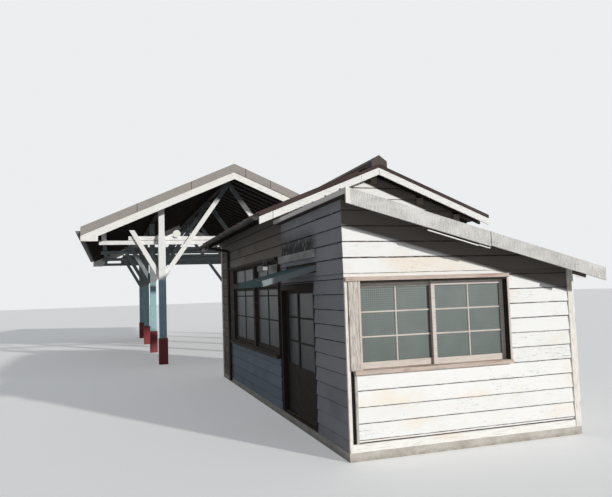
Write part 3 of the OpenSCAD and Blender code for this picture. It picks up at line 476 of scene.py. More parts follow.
# Painted shade on the front and gable boards where the roof's shadow falls: slope, height at x 0, colour
ANNEX_PAINTED_SHADE = (ANNEX_SLOPE, ANNEX_HIGH.z + ANNEX_SLOPE * ANNEX_LOW.x - 0.335, "#6b635e")
GABLE_PAINTED_SHADE = (HALL_SLOPE, HALL_RIDGE - 0.310, "#756c66")
# Where the paint of the front is scuffed most: along and up
SCUFFS = ((0.10, 1.10), (0.50, 0.80))
# Painted shade on the canopy: the posts are tinted blue below the braces, and its timbers darken
# towards the roof and the far end
POST_PAINTED_SHADE = (2, 2.20, 2.16, "#9cc3ca")
FAR_TIMBERS_PAINTED_SHADE = (1, CANOPY_FRONT + 0.5, CANOPY_FRONT + 0.8, "#8d9496")
UNDER_ROOF_PAINTED_SHADE = (2, 4.20, 4.35, "#666d70")

COATS = {
    # Walls
    "sun": painted_lap_boards("peeling_oil_paint_on_cedar", "#f6f6f4", "#f5ead9", "#3d332f", fading=0.75,
                              wear=0.85, mildew=0.15, tones=(0.98, 1.01), painted_shade=ANNEX_PAINTED_SHADE,
                              scuffed=SCUFFS),
    "gable": painted_lap_boards("white_oil_paint_on_gable_cedar", "#f8f7f4", "#efe6dc", "#463c37",
                                fading=0.6, wear=0.6, mildew=0.15, tones=(0.96, 1.01),
                                painted_shade=GABLE_PAINTED_SHADE),
    "white_lap": painted_lap_boards("plain_oil_paint_on_cedar", "#f6f5f1", "#f1e6da", "#3d332f",
                                    fading=0.7, wear=0.8, mildew=0.2, tones=(0.96, 1.01)),
    # Track-side white paint, mildewed and darkened to grey-blue as painted shade: a shaded copy of the paint
    "shade": painted_lap_boards("mildewed_oil_paint_darkened_as_painted_shade", "#9b9ba0", "#86878d", "#1f1c1b",
                                fading=0.7, wear=0.75, mildew=0.5, stain=AWNING_STAIN),
    "bare": painted_lap_boards("washed_out_paint_on_cedar", "#7f7770", "#6b635b", "#2a2521", fading=0.8,
                               wear=0.6, mildew=0.4, tones=(0.85, 1.08), stain=DRIP_FADE),
    "panel": painted_lap_boards("blue_white_paint_on_cedar", "#838f9b", "#747f8b", "#1f2022", fading=0.6,
                                wear=0.3, mildew=0.25),
    "inside": weathered_timber("aged_bare_cedar", "#3d342e", "#4d433b", "#1f1a17", 0.4, upright=True),
    "floor": weathered_timber("trodden_floor_boards", "#7a6a58", "#5e5145", "#3a322a", 0.5),
    "concrete": cast_concrete(),
    # Painted trim
    "white": weathered_timber("white_paint_on_pine", "#f7f5f0", "#f0e3d4", "#6b635a", 0.25),
    "corner": weathered_timber("white_paint_on_corner_pine", "#f3efe7", "#cfc2b0", "#4f453d", 0.45,
                               upright=True, patch=(6, 30)),
    "batten": weathered_timber("grey_paint_on_a_batten", "#c4bfb8", "#9a938b", "#4b443e", 0.5,
                               upright=True, patch=(5, 30)),
    "barge": weathered_timber("white_paint_on_barge_boards", "#f9f8f4", "#efe3ce", "#7b736a", 0.2,
                              patch=(1.1, 5), joints=BARGE_JOINTS),
    "fascia": streaked_boards("streaked_white_gloss_paint", "#eceae6", "#cbc8c3", 0.6,
                              joints=FASCIA_JOINTS, clean=CLEAN_END),
    "header": streaked_boards("mildewed_gloss_paint", "#d3d1d2", "#6e6a67", 0.95),
    # Windows, door, awning and lamp
    "jamb": weathered_timber("flaking_paint_upright", "#d6d0c9", "#a8988c", "#41362f", 0.85,
                             upright=True, patch=(7, 55)),
    "trim_up": weathered_timber("worn_beige_paint_upright", "#d8cdc3", "#b5a294", "#6b5c52", 0.35,
                                upright=True),
    "trim": weathered_timber("worn_beige_paint_level", "#cdbdb1", "#b08678", "#7a4c40", 0.5,
                             patch=(2.2, 24)),
    "bars": weathered_timber("beige_paint_on_bars", "#dcd3ca", "#c4b3a7", "#7b695d", 0.25, patch=(3, 20),
                             rough=0.6),
    "frame": weathered_timber("brown_stain_on_cedar", "#433c37", "#5b514a", "#201c19", 0.4),
    # The dark coat, which on the window linings is also the painted shade of the reveals
    "dark": weathered_timber("tarred_cedar_and_painted_reveal_shade", "#35302c", "#4a4039", "#1a1715", 0.4, upright=True),
    "pitch": weathered_timber("near_black_slot_coat", "#1c1816", "#26201d", "#141110", 0.3, upright=True),
    "teal": weathered_timber("faded_teal_paint", "#42585a", "#4f6264", "#1f2829", 0.4),
    "pale": weathered_timber("pale_blue_paint", "#8b9497", "#7d878a", "#59605f", 0.3),
    "glass": patterned_glass("rolled_patterned_glass", "#636e6a", "#808a86"),
    # Glass on the shaded track side, darkened as painted shade
    "shaded_glass": patterned_glass("patterned_glass_darkened_as_painted_shade", "#45484a", "#5a5c5a"),
    "brass": plain_coat("worn_brass", "#a58a4f", 0.35, metallic=1.0),
    "lamp": plain_coat("white_enamel_lamp", "#eeede8", 0.35, glow=0.3),
    "housing": plain_coat("black_enamel_housing", "#232321", 0.5),
    # Roofs
    "roof": sheet_metal("red_brown_roofing_sheet", "#3a2a27", "#4f3428", 0.5, rough=0.75, under="#3a302a"),
    "ridge": sheet_metal("faded_ridge_sheet", "#4d4440", "#41362f", 0.35, rough=0.75),
    "gutter": sheet_metal("galvanised_gutter_sheet", "#413f3d", "#4f4038", 0.3, rough=0.7),
    "pipe": sheet_metal("black_painted_pipe", "#1f1d1c", "#3c2c22", 0.2),
    "dark_long": weathered_timber("tarred_cedar_long", "#37302b", "#4a4039", "#1c1916", 0.4),
    "purlin": weathered_timber("grey_weathered_pine", "#a09387", "#85776b", "#4b423b", 0.4),
    # Canopy
    "post": weathered_timber("white_paint_on_posts", "#f4f5f3", "#dedfda", "#6b665f", 0.25, upright=True,
                             patch=(4, 30), shade_tints=(FAR_TIMBERS_PAINTED_SHADE, POST_PAINTED_SHADE)),
    "tie": weathered_timber("white_paint_on_ties", "#f6f5f2", "#dcdad3", "#75706a", 0.25, patch=(3, 20),
                            joints=TIE_JOINTS, shade_tints=(FAR_TIMBERS_PAINTED_SHADE,)),
    "brace": weathered_timber("white_paint_on_braces", "#f6f5f2", "#dcdad3", "#75706a", 0.25,
                              upright=True, patch=(3, 20), shade_tints=(FAR_TIMBERS_PAINTED_SHADE, UNDER_ROOF_PAINTED_SHADE)),
    "verge": weathered_timber("weathered_grey_verge_boards", "#a19a94", "#cfcac5", "#4a4541", 0.35,
                              patch=(60, 70), rough=0.8, joints=VERGE_JOINTS),
    "grey_sheet": sheet_metal("weathered_grey_sheet", "#7f7a75", "#4e4944", 0.6, rough=0.8, under="#4b4a48"),
    "canopy_gutter": sheet_metal("galvanised_canopy_gutter_sheet", "#77797a", "#5b4a3f", 0.3, rough=0.6),
    "boot": sheet_metal("dark_red_enamel_on_steel", "#8a2f36", "#4a201d", 0.35, rough=0.5),
    "opal": plain_coat("opal_lamp_cover", "#e9e8e2", 0.3, glow=0.1),
}


# Modelling helpers

def pick(*pieces):
    """Makes these the only selected pieces, and the first the active one."""
    bpy.ops.object.select_all(action="DESELECT")
    for piece in pieces:
        piece.select_set(True)
    bpy.context.view_layer.objects.active = pieces[0]


def join(name, pieces):
    """Makes one named piece of several."""
    pick(*pieces)
    if len(pieces) > 1:
        bpy.ops.object.join()
    whole = bpy.context.object
    whole.name = name
    return whole


def modify(piece, kind, **settings):
    """Adds one modifier with its settings and applies it."""
    pick(piece)
    modifier = piece.modifiers.new(kind.title(), kind)
    for key, value in settings.items():
        setattr(modifier, key, value)
    bpy.ops.object.modifier_apply(modifier=modifier.name)


def timber(low, high):
    """A squared length of timber between two corners."""
    low, high = Vector(low), Vector(high)
    bpy.ops.object.select_all(action="DESELECT")
    bpy.ops.mesh.primitive_cube_add(size=1, location=(low + high) / 2, scale=high - low)
    bpy.ops.object.transform_apply()
    return bpy.context.object


def slanted(start, end, y, width, depths):
    """A timber along a slope between two points in X and Z, with its depths over that line."""
    (x0, z0), (x1, z1) = sorted((start, end))
    run = Vector((x1 - x0, 0, z1 - z0))
    piece = timber((0, -width / 2, depths[0]), (run.length, width / 2, depths[1]))
    turn = Matrix.Rotation(-math.atan2(run.z, run.x), 4, "Y")
    piece.data.transform(Matrix.Translation((x0, y, z0)) @ turn)
    return piece


def ease(piece, width, segments=1):
    """Takes the sharpness off a piece's edges."""
    modify(piece, "BEVEL", width=width, segments=segments, limit_method="ANGLE")


def hand_over(piece, coat, body=HOUSE, replaced=()):
    """Gives a finished piece its coat and its body, and hides the CAD nodes it stands for."""
    pick(piece)
    bpy.ops.object.transform_apply()
    piece.data.materials.clear()
    piece.data.materials.append(COATS[coat])
    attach(piece, body)
    if replaced:
        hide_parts(*replaced)


def cut_off(piece, point, normal):
    """Cuts off what lies beyond a plane and closes the cut."""
    pick(piece)
    bpy.ops.object.mode_set(mode="EDIT")
    bpy.ops.mesh.select_all(action="SELECT")
    bpy.ops.mesh.bisect(plane_co=point, plane_no=normal, use_fill=True, clear_outer=True)
    bpy.ops.object.mode_set(mode="OBJECT")


def copy_of(model, matrix):
    """A copy with its own mesh, put in place by a matrix."""
    piece = model.copy()
    piece.data = model.data.copy()
    piece.data.transform(matrix)
    bpy.context.scene.collection.objects.link(piece)
    return piece


def paint_value(piece, name, values):
    """Keeps one number for each vertex, which a material reads."""
    attribute = piece.data.attributes.get(name) or piece.data.attributes.new(name, "FLOAT", "POINT")
    attribute.data.foreach_set("value", values)


def spaced(low, high, step):
    """Even places between two ends, half a step in from each."""
    count = round((high - low) / step)
    return [low + (high - low) * (i + 0.5) / count for i in range(count)]


def thirds(low, high):
    """The two places that part a stretch in three."""
    return [low + (high - low) * i / 3 for i in (1, 2)]


# Walls: each has the turn that faces a board model outwards, and the place of its face

WALLS = {"front": (0, FRONT_Y), "gable": (0, GABLE_Y), "rear": (180, REAR_Y),
         "track": (-90, TRACK_X), "hill": (90, HILL_X)}


def on_wall(side, u, z, out=0.0):
    """The place and turn, as a matrix, of something centred at u and z on a wall's face."""
    turn, face = WALLS[side]
    place = (u, face, z) if turn % 180 == 0 else (face, u, z)
    return (Matrix.Translation(place) @ Matrix.Rotation(math.radians(turn), 4, "Z")
            @ Matrix.Translation((0, -out, 0)))


def wall_timber(side, span, heights, depths):
    """A timber given by its span along a wall, its heights, and its depths into the wall."""
    turn, face = WALLS[side]
    inwards = 1 if turn in (0, -90) else -1
    near, far = sorted(face + inwards * depth for depth in depths)
    if turn % 180 == 0:
        return timber((span[0], near, heights[0]), (span[1], far, heights[1]))
    return timber((near, span[0], heights[0]), (far, span[1], heights[1]))


def lap_board_model():
    """One lap board, 1 m long in X and 1 m high, which all the others are copied from."""
    board = timber((-0.5, -BUTT, 0), (0.5, 0, 1))
    # The head is thinned from the front, and the foot from the back, where the board below it lies
    for vertex in board.data.vertices:
        high = vertex.co.z > 0.5
        front = vertex.co.y < -BUTT / 2
        vertex.co.y += TAPER if high and front else 0
        vertex.co.y -= BACK if not high and not front else 0
    # Only the four long edges are divided, so that the board can bend along its length
    pick(board)
    bpy.ops.object.mode_set(mode="EDIT")
    bpy.ops.mesh.select_mode(type="EDGE")
    bpy.ops.mesh.select_all(action="DESELECT")
    bpy.ops.object.mode_set(mode="OBJECT")
    for edge in board.data.edges:
        a, b = (board.data.vertices[i].co for i in edge.vertices)
        edge.select = abs(a.x - b.x) > 0.5
    bpy.ops.object.mode_set(mode="EDIT")
    bpy.ops.mesh.subdivide(number_cuts=BOARD_STEPS - 1)
    bpy.ops.object.mode_set(mode="OBJECT")
    paint_value(board, "board_up", [v.co.z for v in board.data.vertices])
    return board


LAP_BOARD = lap_board_model()


def free_spans(span, row, holes):
    """The stretches of a course, with the heights that are free of holes there."""
    cuts = sorted({*span} | {u for h in holes for u in h[:2] if span[0] < u < span[1]})
    for u0, u1 in zip(cuts, cuts[1:]):
        low, high = row
        for left, right, foot, head in holes:
            if not (left < (u0 + u1) / 2 < right and foot < high and head > low):
                continue
            if foot <= low and head >= high:
                low = high
            elif foot <= low:
                low = head
            else:
                high = foot
        if high - low > SLIVER:
            yield u0, u1, low, high


def with_butts(u0, u1):
    """Splits a long course into boards at random places, with a small gap between two."""
    if u1 - u0 <= LONGEST_BOARD:
        return [(u0, u1)]
    joint = rng.uniform(u0 + SHORTEST_BOARD, u1 - SHORTEST_BOARD)
    return with_butts(u0, joint - BOARD_GAP / 2) + with_butts(joint + BOARD_GAP / 2, u1)


def lap_boards(name, side, span, heights, holes, coat, cuts=()):
    """The lap boards of a stretch of wall, round its openings and under its roof."""
    boards = []
    for foot, head in zip(LAPS, LAPS[1:]):
        row = (max(foot, heights[0]), min(head, heights[1]))
        if row[1] <= row[0]:
            continue
        for length in with_butts(*span):
            tone = rng.random()
            slip = rng.uniform(-SLIP, SLIP)
            for u0, u1, low, high in free_spans(length, row, holes):
                size = Matrix.Diagonal((u1 - u0, 1, head + HIDDEN_LAP - foot, 1))
                place = on_wall(side, (u0 + u1) / 2, foot + slip, rng.uniform(0, PLAY))
                board = copy_of(LAP_BOARD, place @ size)
                paint_value(board, "board_tone", [tone] * len(board.data.vertices))
                if low > foot + SLIVER:
                    cut_off(board, (0, 0, low), (0, 0, -1))
                if high < head - SLIVER:
                    cut_off(board, (0, 0, high), (0, 0, 1))
                boards.append(board)
    wall = join(name, boards)
    for point, normal in cuts:
        cut_off(wall, point, normal)
    waves = bpy.data.textures.new(name + "_waves", "CLOUDS")
    waves.noise_scale = WAVE
    way = "Y" if WALLS[side][0] % 180 == 0 else "X"
    for direction, strength in (("Z", WARP), (way, WARP / 2)):
        modify(wall, "DISPLACE", texture=waves, strength=strength, direction=direction,
               texture_coords="LOCAL")
    hand_over(wall, coat)


def under_roof(slope, height, x=0.0):
    """The plane at a roof's underside, whose height is known at x, and which falls along its slope."""
    return (x, 0, height), Vector((slope, 0, 1)).normalized()


def purlin_holes():
    """Where the purlins come through the gables or end on them."""
    holes = []
    for x in PURLIN_X:
        top = HALL_RIDGE - HALL_SLOPE * (abs(x) + PURLIN / 2) - HALL_DECK - RAFTER
        holes.append((x - PURLIN / 2, x + PURLIN / 2, top - PURLIN, top + SPARE))
    return holes


def window_hole(span, jamb_width):
    """The outline of a window with its jamb board, linings, sill and drip board."""
    return (span[0] - LINING - jamb_width, span[1] + LINING, WINDOW_Z[0] - SILL_H,
            WINDOW_Z[1] + LINING + DRIP_H)


def side_boards():
    """Lap boards on the four sides and on the front gable."""
    skirted = SKIRT_TOP + SKIRT_GAP
    hall_top = HALL_RIDGE - HALL_SLOPE * (HILL_X + BUTT) - HALL_DECK
    annex_under = under_roof(ANNEX_SLOPE, ANNEX_HIGH.z - ANNEX_DECK - UNDER_SHEET, ANNEX_LOW.x)
    window = window_hole(FRONT_WINDOW, SPARE)
    corner = (PAST_CORNER, BATTEN[1], 0, window[2])
    lap_boards("front_lap_boards", "front", (TRACK_X - BUTT, HILL_X - CORNER), (skirted, OVER_ANNEX),
               [window, corner], "sun", [annex_under])
    # The track side: the pier, the wall over the door, and the hall's wall round its window
    door = (DOOR_U[0] - JAMB, DOOR_U[1] + JAMB)
    header_low, header_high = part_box("header_board")
    header = (header_low.y, header_high.y, header_low.z, header_high.z)
    awning = (header_low.y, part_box("awning_roof")[1].y, *AWNING_MEETS_WALL)
    annex_top = ANNEX_HIGH.z - ANNEX_SLOPE * (TRACK_X - BUTT - ANNEX_LOW.x) - ANNEX_DECK
    lap_boards("pier_lap_boards", "track", (FRONT_Y, door[0]), (PLINTH, annex_top), [header, awning],
               "shade")
    lap_boards("door_head_lap_boards", "track", (door[0], GABLE_Y), (DOOR_HEAD, annex_top), [header, awning],
               "shade")
    near, far, foot, head = (PANES_FRAME_LOW.y, PANES_FRAME_HIGH.y, PANES_FRAME_LOW.z, PANES_FRAME_HIGH.z)
    hole = (door[1] - PAST_JAMB, far, 0, head)
    lap_boards("hall_lap_boards", "track", (GABLE_Y, far), (DOOR_HEAD, hall_top), [hole, header], "bare")
    lap_boards("window_panel_lap_boards", "track", (near, far), (PLINTH, foot), [], "panel")
    # The far stretch takes the darker washed-out coat, partly as painted shadow
    lap_boards("far_lap_boards", "track", (far, REAR_Y - CORNER), (PLINTH, hall_top), [], "bare")
    # The hill side and the rear
    lap_boards("hill_lap_boards", "hill", (GABLE_Y, REAR_Y - CORNER), (skirted, hall_top),
               [window_hole(HILL_WINDOW, BACK_JAMB)], "white_lap")
    hill_top = ANNEX_HIGH.z - ANNEX_SLOPE * (HILL_X + BUTT - ANNEX_LOW.x) - ANNEX_DECK
    lap_boards("hill_annex_lap_boards", "hill", (FRONT_Y + CORNER, GABLE_Y), (skirted, hill_top), [],
               "white_lap")
    rafters = HALL_RIDGE - HALL_DECK - RAFTER
    under_rafters = [under_roof(HALL_SLOPE, rafters), under_roof(-HALL_SLOPE, rafters)]
    holes = [window_hole(REAR_WINDOW, BACK_JAMB)] + purlin_holes()
    lap_boards("rear_lap_boards", "rear", (TRACK_X + CORNER, HILL_X - CORNER), (skirted, OVER_HALL), holes,
               "white_lap", under_rafters)
    over_annex = ((ANNEX_LOW.x, 0, ANNEX_HIGH.z + OVER_SHEET), Vector((-ANNEX_SLOPE, 0, -1)).normalized())
    lap_boards("gable_lap_boards", "gable", (TRACK_X - BUTT, HILL_X + BUTT), (UNDER_GABLE, OVER_HALL),
               purlin_holes(), "gable", under_rafters + [over_annex])


def corner_slot():
    """At the front corner: a near-black slot and the grey batten beside it, under the window."""
    foot, head = SKIRT_TOP, WINDOW_Z[0] - SILL_H
    slot = wall_timber("front", SLOT, (foot, head + SLOT_UP), (-SLOT_OUT, 0))
    slot.name = "corner_slot_board"
    ease(slot, THIN_EDGE)
    hand_over(slot, "pitch")
    batten = wall_timber("front", BATTEN, (foot, head), (-BATTEN_OUT, 0))
    batten.name = "corner_batten"
    ease(batten, PLANED_EDGE)
    hand_over(batten, "batten")


# Windows and door

def window_frame(name, side, span, jamb_width, node, drip_more=0.0):
    """A window's linings, jamb board, sill and drip board, with eased edges."""
    (u0, u1), (z0, z1) = span, WINDOW_Z
    edge, right = u0 - LINING - jamb_width, u1 + LINING
    foot, head = z0 - LINING, z1 + LINING
    through = (EDGE - FRAME_OUT, WALL_T)
    front = (-FRAME_OUT, EDGE - FRAME_OUT)
    drip = wall_timber(side, (edge - drip_more, right), (head, head + DRIP_H), (-DRIP_OUT, 0))
    sill = wall_timber(side, (edge + SILL_IN, right), (z0 - SILL_H, z0), (-DRIP_OUT, SILL_SUNK))
    board = wall_timber(side, (u0 - LINING, right), (foot, z0), (0, WALL_T))
    level = join(name + "_boards", [drip, sill, board])
    ease(level, ROUND_EDGE, segments=2)
    hand_over(level, "trim", replaced=[node])
    edges = join(name + "_edges", [wall_timber(side, (u0 - LINING, u0), (z0, head), front),
                                   wall_timber(side, (u1, right), (z0, head), front)])
    ease(edges, PLANED_EDGE, segments=2)
    hand_over(edges, "trim_up", replaced=[node])
    # The linings inside the opening take the dark coat as painted shade in the reveal
    linings = join(name + "_linings", [wall_timber(side, (u0 - LINING, u0), (z0, head), through),
                                       wall_timber(side, (u1, right), (z0, head), through),
                                       wall_timber(side, (u0, u1), (z1, head), through)])
    ease(linings, SAWN_EDGE)
    hand_over(linings, "dark", replaced=[node])
    jamb = wall_timber(side, (edge, u0 - LINING), (z0, head), (-FRAME_OUT, 0))
    jamb.name = name + "_jamb_board"
    ease(jamb, ROUND_EDGE, segments=2)
    hand_over(jamb, "jamb", replaced=[node])


def window_bars(name, side, panes, coat, thick=BAR, body=HOUSE):
    """Bars over panes: each has its span, its heights, its depth, and the places of its bars."""
    bars = []
    for span, heights, depth, upright, level in panes:
        near, far = depth + BAR_IN, depth + SASH_T - BAR_IN
        for u in upright:
            bars.append(wall_timber(side, (u - thick / 2, u + thick / 2), heights, (near, far)))
        for z in level:
            bars.append(wall_timber(side, span, (z - thick / 2, z + thick / 2),
                                    (near + LEVEL_BAR_IN, far - LEVEL_BAR_IN)))
    piece = join(name, bars)
    ease(piece, ROUND_EDGE)
    hand_over(piece, coat, body)


def sliding_panes(span, order):
    """The panes of a pair of sliding sashes, which overlap by a stile."""
    width = (span[1] - span[0] + STILE) / 2
    foot, head = WINDOW_Z[0] + SASH_FOOT, WINDOW_Z[1] - STILE
    panes = []
    for start, track in zip((span[0], span[1] - width), order):
        glazed = (start + STILE, start + width - STILE)
        panes.append((glazed, (foot, head), SASH_DEPTHS[track], [start + width / 2], thirds(foot, head)))
    return panes


def windows():
    """The frames and bars of the windows."""
    front_jamb = FRONT_WINDOW[0] - LINING - STRIP[1]
    window_frame("front_window", "front", FRONT_WINDOW, front_jamb, "front_window_frame",
                 STRIP[1] - STRIP[0])
    window_frame("hill_window", "hill", HILL_WINDOW, BACK_JAMB, "back_window_frames")
    window_frame("rear_window", "rear", REAR_WINDOW, BACK_JAMB, "back_window_frames")
    for side, span, order in (("front", FRONT_WINDOW, ("inner", "outer")),
                              ("hill", HILL_WINDOW, ("inner", "outer")),
                              ("rear", REAR_WINDOW, ("outer", "inner"))):
        window_bars(f"{side}_window_bars", side, sliding_panes(span, order), "bars")
    near, far, mullion = PANES_LOW.y, PANES_HIGH.y, PANES_LOW.y + NEAR_BAY
    panes = []
    lights = (TRANSOM[1] + LINING, PANES_HIGH.z - LINING)
    sashes = (PANES_LOW.z + SASH_FOOT, TRANSOM[0] - STILE)
    for u0, u1 in ((near, mullion), (mullion + MULLION, far)):
        span, middle = (u0 + STILE, u1 - STILE), [(u0 + u1) / 2]
        panes.append((span, sashes, PLATFORM_DEPTH, middle, PANE_BARS))
        panes.append((span, lights, PLATFORM_DEPTH, middle, []))
    window_bars("platform_window_bars", "track", panes, "dark", thick=PLATFORM_BAR)


def door_leaf_boards(body):
    """A leaf's bars over its glass, and its panel of upright boards with open grooves."""
    low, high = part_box(body + "_glass")
    leaf_low, leaf_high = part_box(body)
    pane = ((low.y, high.y), (low.z, high.z), leaf_low.x - TRACK_X, [], thirds(low.z, high.z))
    window_bars(body + "_bars", "track", [pane], "dark", thick=DOOR_BAR, body=body)
    middle = (leaf_low.x + leaf_high.x) / 2
    step = (high.y - low.y) / PANEL_BOARDS
    boards = []
    for i in range(PANEL_BOARDS):
        y = low.y + step * i
        boards.append(timber((middle - PANEL_FACE, y + GROOVE / 2, leaf_low.z + FOOT_RAIL),
                             (middle - PANEL_BACK, y + step - GROOVE / 2, low.z - LOCK_RAIL)))
    panel = join(body + "_panel_boards", boards)
    ease(panel, PLANED_EDGE)
    hand_over(panel, "dark", body)


# Roofs and eaves

def roof_seams(name, start, end, ys, coat, slot, size):
    """Folded seams down a roof slope, between two points in X and Z."""
    width, height = size
    piece = join(name, [slanted(start, end, y, width, (-SEAM_SUNK, height)) for y in ys])
    ease(piece, ROUND_EDGE)
    hand_over(piece, coat)


def roofs():
    """The seams of every sheet roof, and the rafters that show under the eaves."""
    low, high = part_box("hall_roof_hill")
    canopy_low, canopy_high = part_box("canopy_roof_hill")
    half = canopy_high.x - canopy_low.x
    eave = HALL_RIDGE - HALL_SLOPE * HALL_EAVE
    under = HALL_RIDGE - HALL_DECK
    for side, way in (("track", -1), ("hill", 1)):
        roof_seams(f"hall_{side}_roof_seams", (way * HALL_SEAM_TOP, HALL_RIDGE - HALL_SLOPE * HALL_SEAM_TOP),
                   (way * HALL_EAVE, eave), spaced(low.y, high.y, HALL_SEAM_STEP), "roof", "roof_sheet",
                   HALL_SEAM)
        canopy_ends = [(CANOPY_X + way * out, CANOPY_RIDGE - CANOPY_SLOPE * out)
                       for out in (CANOPY_SEAM_TOP, half)]
        roof_seams(f"canopy_{side}_roof_seams", *canopy_ends,
                   spaced(canopy_low.y, canopy_high.y, CANOPY_SEAM_STEP), "grey_sheet", "canopy_sheet",
                   CANOPY_SEAM)
        tail_ends = [(way * out, under - HALL_SLOPE * out)
                     for out in (HILL_X + BUTT - TAIL_SUNK, HALL_EAVE - TAIL_SHORT)]
        tails = [slanted(*tail_ends, y, TAIL_W, (-TAIL_H, 0.0)) for y in spaced(HALL_Y, REAR_Y, RAFTER_STEP)]
        rafters = join(f"hall_{side}_rafter_tails", tails)
        ease(rafters, PLANED_EDGE)
        hand_over(rafters, "dark_long")
        canopy_rafters(side, way, canopy_low.y, canopy_high.y)
    roof_seams("annex_roof_seams", (ANNEX_LOW.x, ANNEX_HIGH.z),
               (ANNEX_HIGH.x, ANNEX_HIGH.z - ANNEX_SLOPE * (ANNEX_HIGH.x - ANNEX_LOW.x)),
               spaced(ANNEX_LOW.y, GABLE_Y, HALL_SEAM_STEP), "roof", "roof_sheet", HALL_SEAM)


def canopy_rafters(side, way, y0, y1):
    """Rafters under one slope of the canopy, each in lengths between the purlins."""
    under = CANOPY_RIDGE - CANOPY_DECK
    lengths = []
    for run in RAFTER_RUNS:
        ends = [(CANOPY_X + way * out, under - CANOPY_SLOPE * out) for out in run]
        lengths += [slanted(*ends, y, CANOPY_RAFTER_W, (-CANOPY_RAFTER_H, 0.0))
                    for y in spaced(y0, y1, RAFTER_STEP)]
    rafters = join(f"canopy_{side}_rafters", lengths)
    ease(rafters, PLANED_EDGE)
    hand_over(rafters, "dark_long")


def eave_battens():
    """Thin battens along the foot of dark boards, which hang behind the front fascia."""
    middle = ANNEX_LOW.y + EAVE_BATTEN_IN
    foot, head = -EAVE_BATTEN_H / 2, EAVE_BATTEN_H / 2
    pale, dark = [], []
    for ends in EAVE_BATTENS:
        pale.append(slanted(*ends, middle, EAVE_BATTEN_W, (foot, head)))
        dark.append(slanted(*ends, middle, EAVE_BOARD_W, (head, EAVE_BOARD_TOP)))
    battens = join("eave_battens", pale)
    ease(battens, SAWN_EDGE)
    hand_over(battens, "white")
    backs = join("eave_batten_backs", dark)
    ease(backs, SAWN_EDGE)
    hand_over(backs, "dark_long")


def awning_end():
    """The pale cover board on the awning's near rake."""
    low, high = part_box("awning_roof")
    start, end = (high.x, high.z), (low.x, low.z + AWNING_T)
    cover = slanted(start, end, low.y - COVER_T / 2, COVER_T, (-COVER_H, 0.0))
    cover.name = "awning_rake_cover"
    ease(cover, SAWN_EDGE)
    hand_over(cover, "pale")


def gutter_brackets():
    """Iron straps round the gutter, nailed to the eave."""
    low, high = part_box("gutter")
    radius = (high.x - low.x) / 2
    middle = (high.x - radius, 0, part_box("hall_roof_hill")[0].z)
    bpy.ops.object.select_all(action="DESELECT")
    bpy.ops.mesh.primitive_cylinder_add(vertices=STRAP_SIDES, radius=radius + STRAP_CLEAR, depth=STRAP_W,
                                        location=middle, rotation=(math.pi / 2, 0, 0),
                                        end_fill_type="NOTHING")
    bpy.ops.object.transform_apply()
    model = bpy.context.object
    pick(model)
    bpy.ops.object.mode_set(mode="EDIT")
    bpy.ops.mesh.select_all(action="SELECT")
    bpy.ops.mesh.bisect(plane_co=middle, plane_no=(0, 0, 1), clear_outer=True)
    bpy.ops.object.mode_set(mode="OBJECT")
    modify(model, "SOLIDIFY", thickness=STRAP_T, offset=1)
    straps = [copy_of(model, Matrix.Translation((0, y, 0))) for y in spaced(low.y, high.y, STRAP_STEP)]
    bpy.data.objects.remove(model)
    hand_over(join("gutter_brackets", straps), "gutter")


def lamp_end():
    """The white panel in the near end of the lamp over the platform window."""
    low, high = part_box("wall_lamp")
    panel = timber((low.x + LAMP_MARGIN, low.y - LAMP_PANEL_T, low.z + LAMP_MARGIN),
                   (high.x - LAMP_MARGIN, low.y, low.z + LAMP_MARGIN + LAMP_PANEL_H))
    panel.name = "lamp_end_panel"
    ease(panel, PRESSED_EDGE)
    hand_over(panel, "lamp")


# Coats of the CAD nodes that stay in view

NODE_COATS = {
    "concrete": ["foundation"],
    "floor": ["floor"],
    "inside": ["front_wall", "track_wall_pier", "track_wall_over_door", "hall_track_wall", "hall_gable_wall",
               "rear_wall", "hall_hill_wall", "annex_hill_wall"],
    "corner": ["corner_boards"],
    "white": ["skirting_boards", "canopy_barge_boards"],
    "brace": ["canopy_braces"],
    "bars": ["front_sashes", "back_sashes"],
    "glass": ["front_glass", "back_glass"],
    "frame": ["platform_window_frame"],
    "shaded_glass": ["platform_glass", "near_leaf_glass", "far_leaf_glass"],
    "dark": ["corner_posts", "platform_sashes", "door_frame", "near_leaf", "far_leaf"],
    "brass": ["door_rails"],
    "header": ["header_board"],
    "teal": ["awning_roof", "awning_frame"],
    "housing": ["wall_lamp"],
    "roof": ["hall_roof_track", "hall_roof_hill", "annex_roof"],
    "ridge": ["ridge_cap"],
    "barge": ["barge_boards"],
    "dark_long": ["verge_rafters", "canopy_purlins"],
    "purlin": ["purlins"],
    "gutter": ["gutter"],
    "canopy_gutter": ["canopy_gutters"],
    "pipe": ["downpipe"],
    "fascia": ["annex_fascia"],
    "boot": ["canopy_post_boots"],
    "post": ["canopy_posts"],
    "tie": ["canopy_ties"],
    "grey_sheet": ["canopy_roof_track", "canopy_roof_hill"],
    "verge": ["canopy_verge_boards"],
    "opal": ["canopy_lamp"],
}


def coat_nodes():
    """Gives every CAD node that stays in view its coat."""
    for coat, nodes in NODE_COATS.items():
        for node in nodes:
            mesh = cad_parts[node].data
            mesh.materials.clear()
            mesh.materials.append(COATS[coat])


# Camera, light and the pale ground

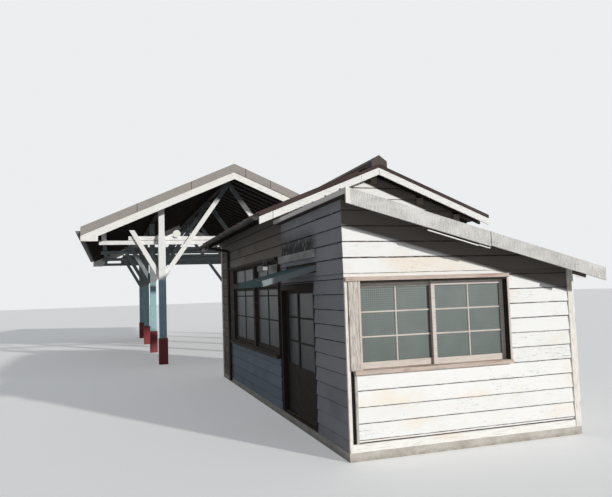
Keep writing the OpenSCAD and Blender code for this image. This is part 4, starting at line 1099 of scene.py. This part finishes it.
def camera():
    """The photograph's view, solved from the lines of the boards and eaves."""
    place = Vector((-3.776, -9.572, 1.756))
    yaw, pitch, roll = (math.radians(a) for a in (-17.912, 4.035, -1.8815))
    data = bpy.data.cameras.new("photograph_view")
    data.lens = 35.97
    data.sensor_width = 36
    data.clip_end = 300
    view = bpy.data.objects.new("photograph_view", data)
    view.matrix_world = (Matrix.Translation(place) @ Matrix.Rotation(yaw, 4, "Z")
                         @ Matrix.Rotation(math.pi / 2 + pitch, 4, "X") @ Matrix.Rotation(roll, 4, "Z"))
    bpy.context.scene.collection.objects.link(view)
    bpy.context.scene.camera = view


def light():
    """A low sun from the front right, as on the photograph, with soft light from all round."""
    azimuth, elevation = math.radians(31), math.radians(17.2)
    to_sun = Vector((math.sin(azimuth) * math.cos(elevation), -math.cos(azimuth) * math.cos(elevation),
                     math.sin(elevation)))
    data = bpy.data.lights.new("sun", "SUN")
    data.energy = 2.7
    data.angle = math.radians(2)
    data.color = (1.0, 0.985, 0.96)
    sun = bpy.data.objects.new("sun", data)
    sun.rotation_mode = "QUATERNION"
    sun.rotation_quaternion = to_sun.to_track_quat("Z", "Y")
    bpy.context.scene.collection.objects.link(sun)
    world = bpy.data.worlds.new("pale_studio")
    world.use_nodes = True
    tree = world.node_tree
    tree.nodes.clear()
    rays = add_node(tree, "LightPath")
    seen = rays.outputs["Is Camera Ray"]
    for other in ("Is Glossy Ray", "Is Transmission Ray"):
        seen = add_node(tree, "Math", {0: seen, 1: rays.outputs[other]}, operation="MAXIMUM").outputs[0]
    fill = add_node(tree, "Background", {"Color": linear("#e2e8f2"), "Strength": 0.26})
    pale = add_node(tree, "Background", {"Color": linear("#eceef0"), "Strength": 1.0})
    mix = add_node(tree, "MixShader", {0: seen, 1: fill.outputs[0], 2: pale.outputs[0]})
    add_node(tree, "OutputWorld", {"Surface": mix.outputs[0]})
    bpy.context.scene.world = world


def ground():
    """A plain pale floor, which keeps the shadow and looks as pale as the backdrop."""
    bpy.ops.mesh.primitive_plane_add(size=240, location=(0, 6, -0.002))
    plane = bpy.context.object
    plane.name = "studio_floor"
    material, tree, shader = new_material("pale_studio_floor")
    shader.inputs["Base Color"].default_value = linear("#e6e6e4")
    shader.inputs["Roughness"].default_value = 0.9
    shader.inputs["Specular IOR Level"].default_value = 0.1
    shader.inputs["Emission Color"].default_value = linear("#eceef0")
    lift = add_node(tree, "Math", {0: add_node(tree, "LightPath").outputs["Is Camera Ray"], 1: 0.3},
                    operation="MULTIPLY")
    tree.links.new(lift.outputs[0], shader.inputs["Emission Strength"])
    plane.data.materials.append(material)


coat_nodes()
side_boards()
corner_slot()
windows()
for leaf in ("near_leaf", "far_leaf"):
    door_leaf_boards(leaf)
roofs()
eave_battens()
awning_end()
gutter_brackets()
lamp_end()
bpy.data.objects.remove(LAP_BOARD)
camera()
light()
ground()
bpy.context.scene.view_settings.view_transform = "Standard"
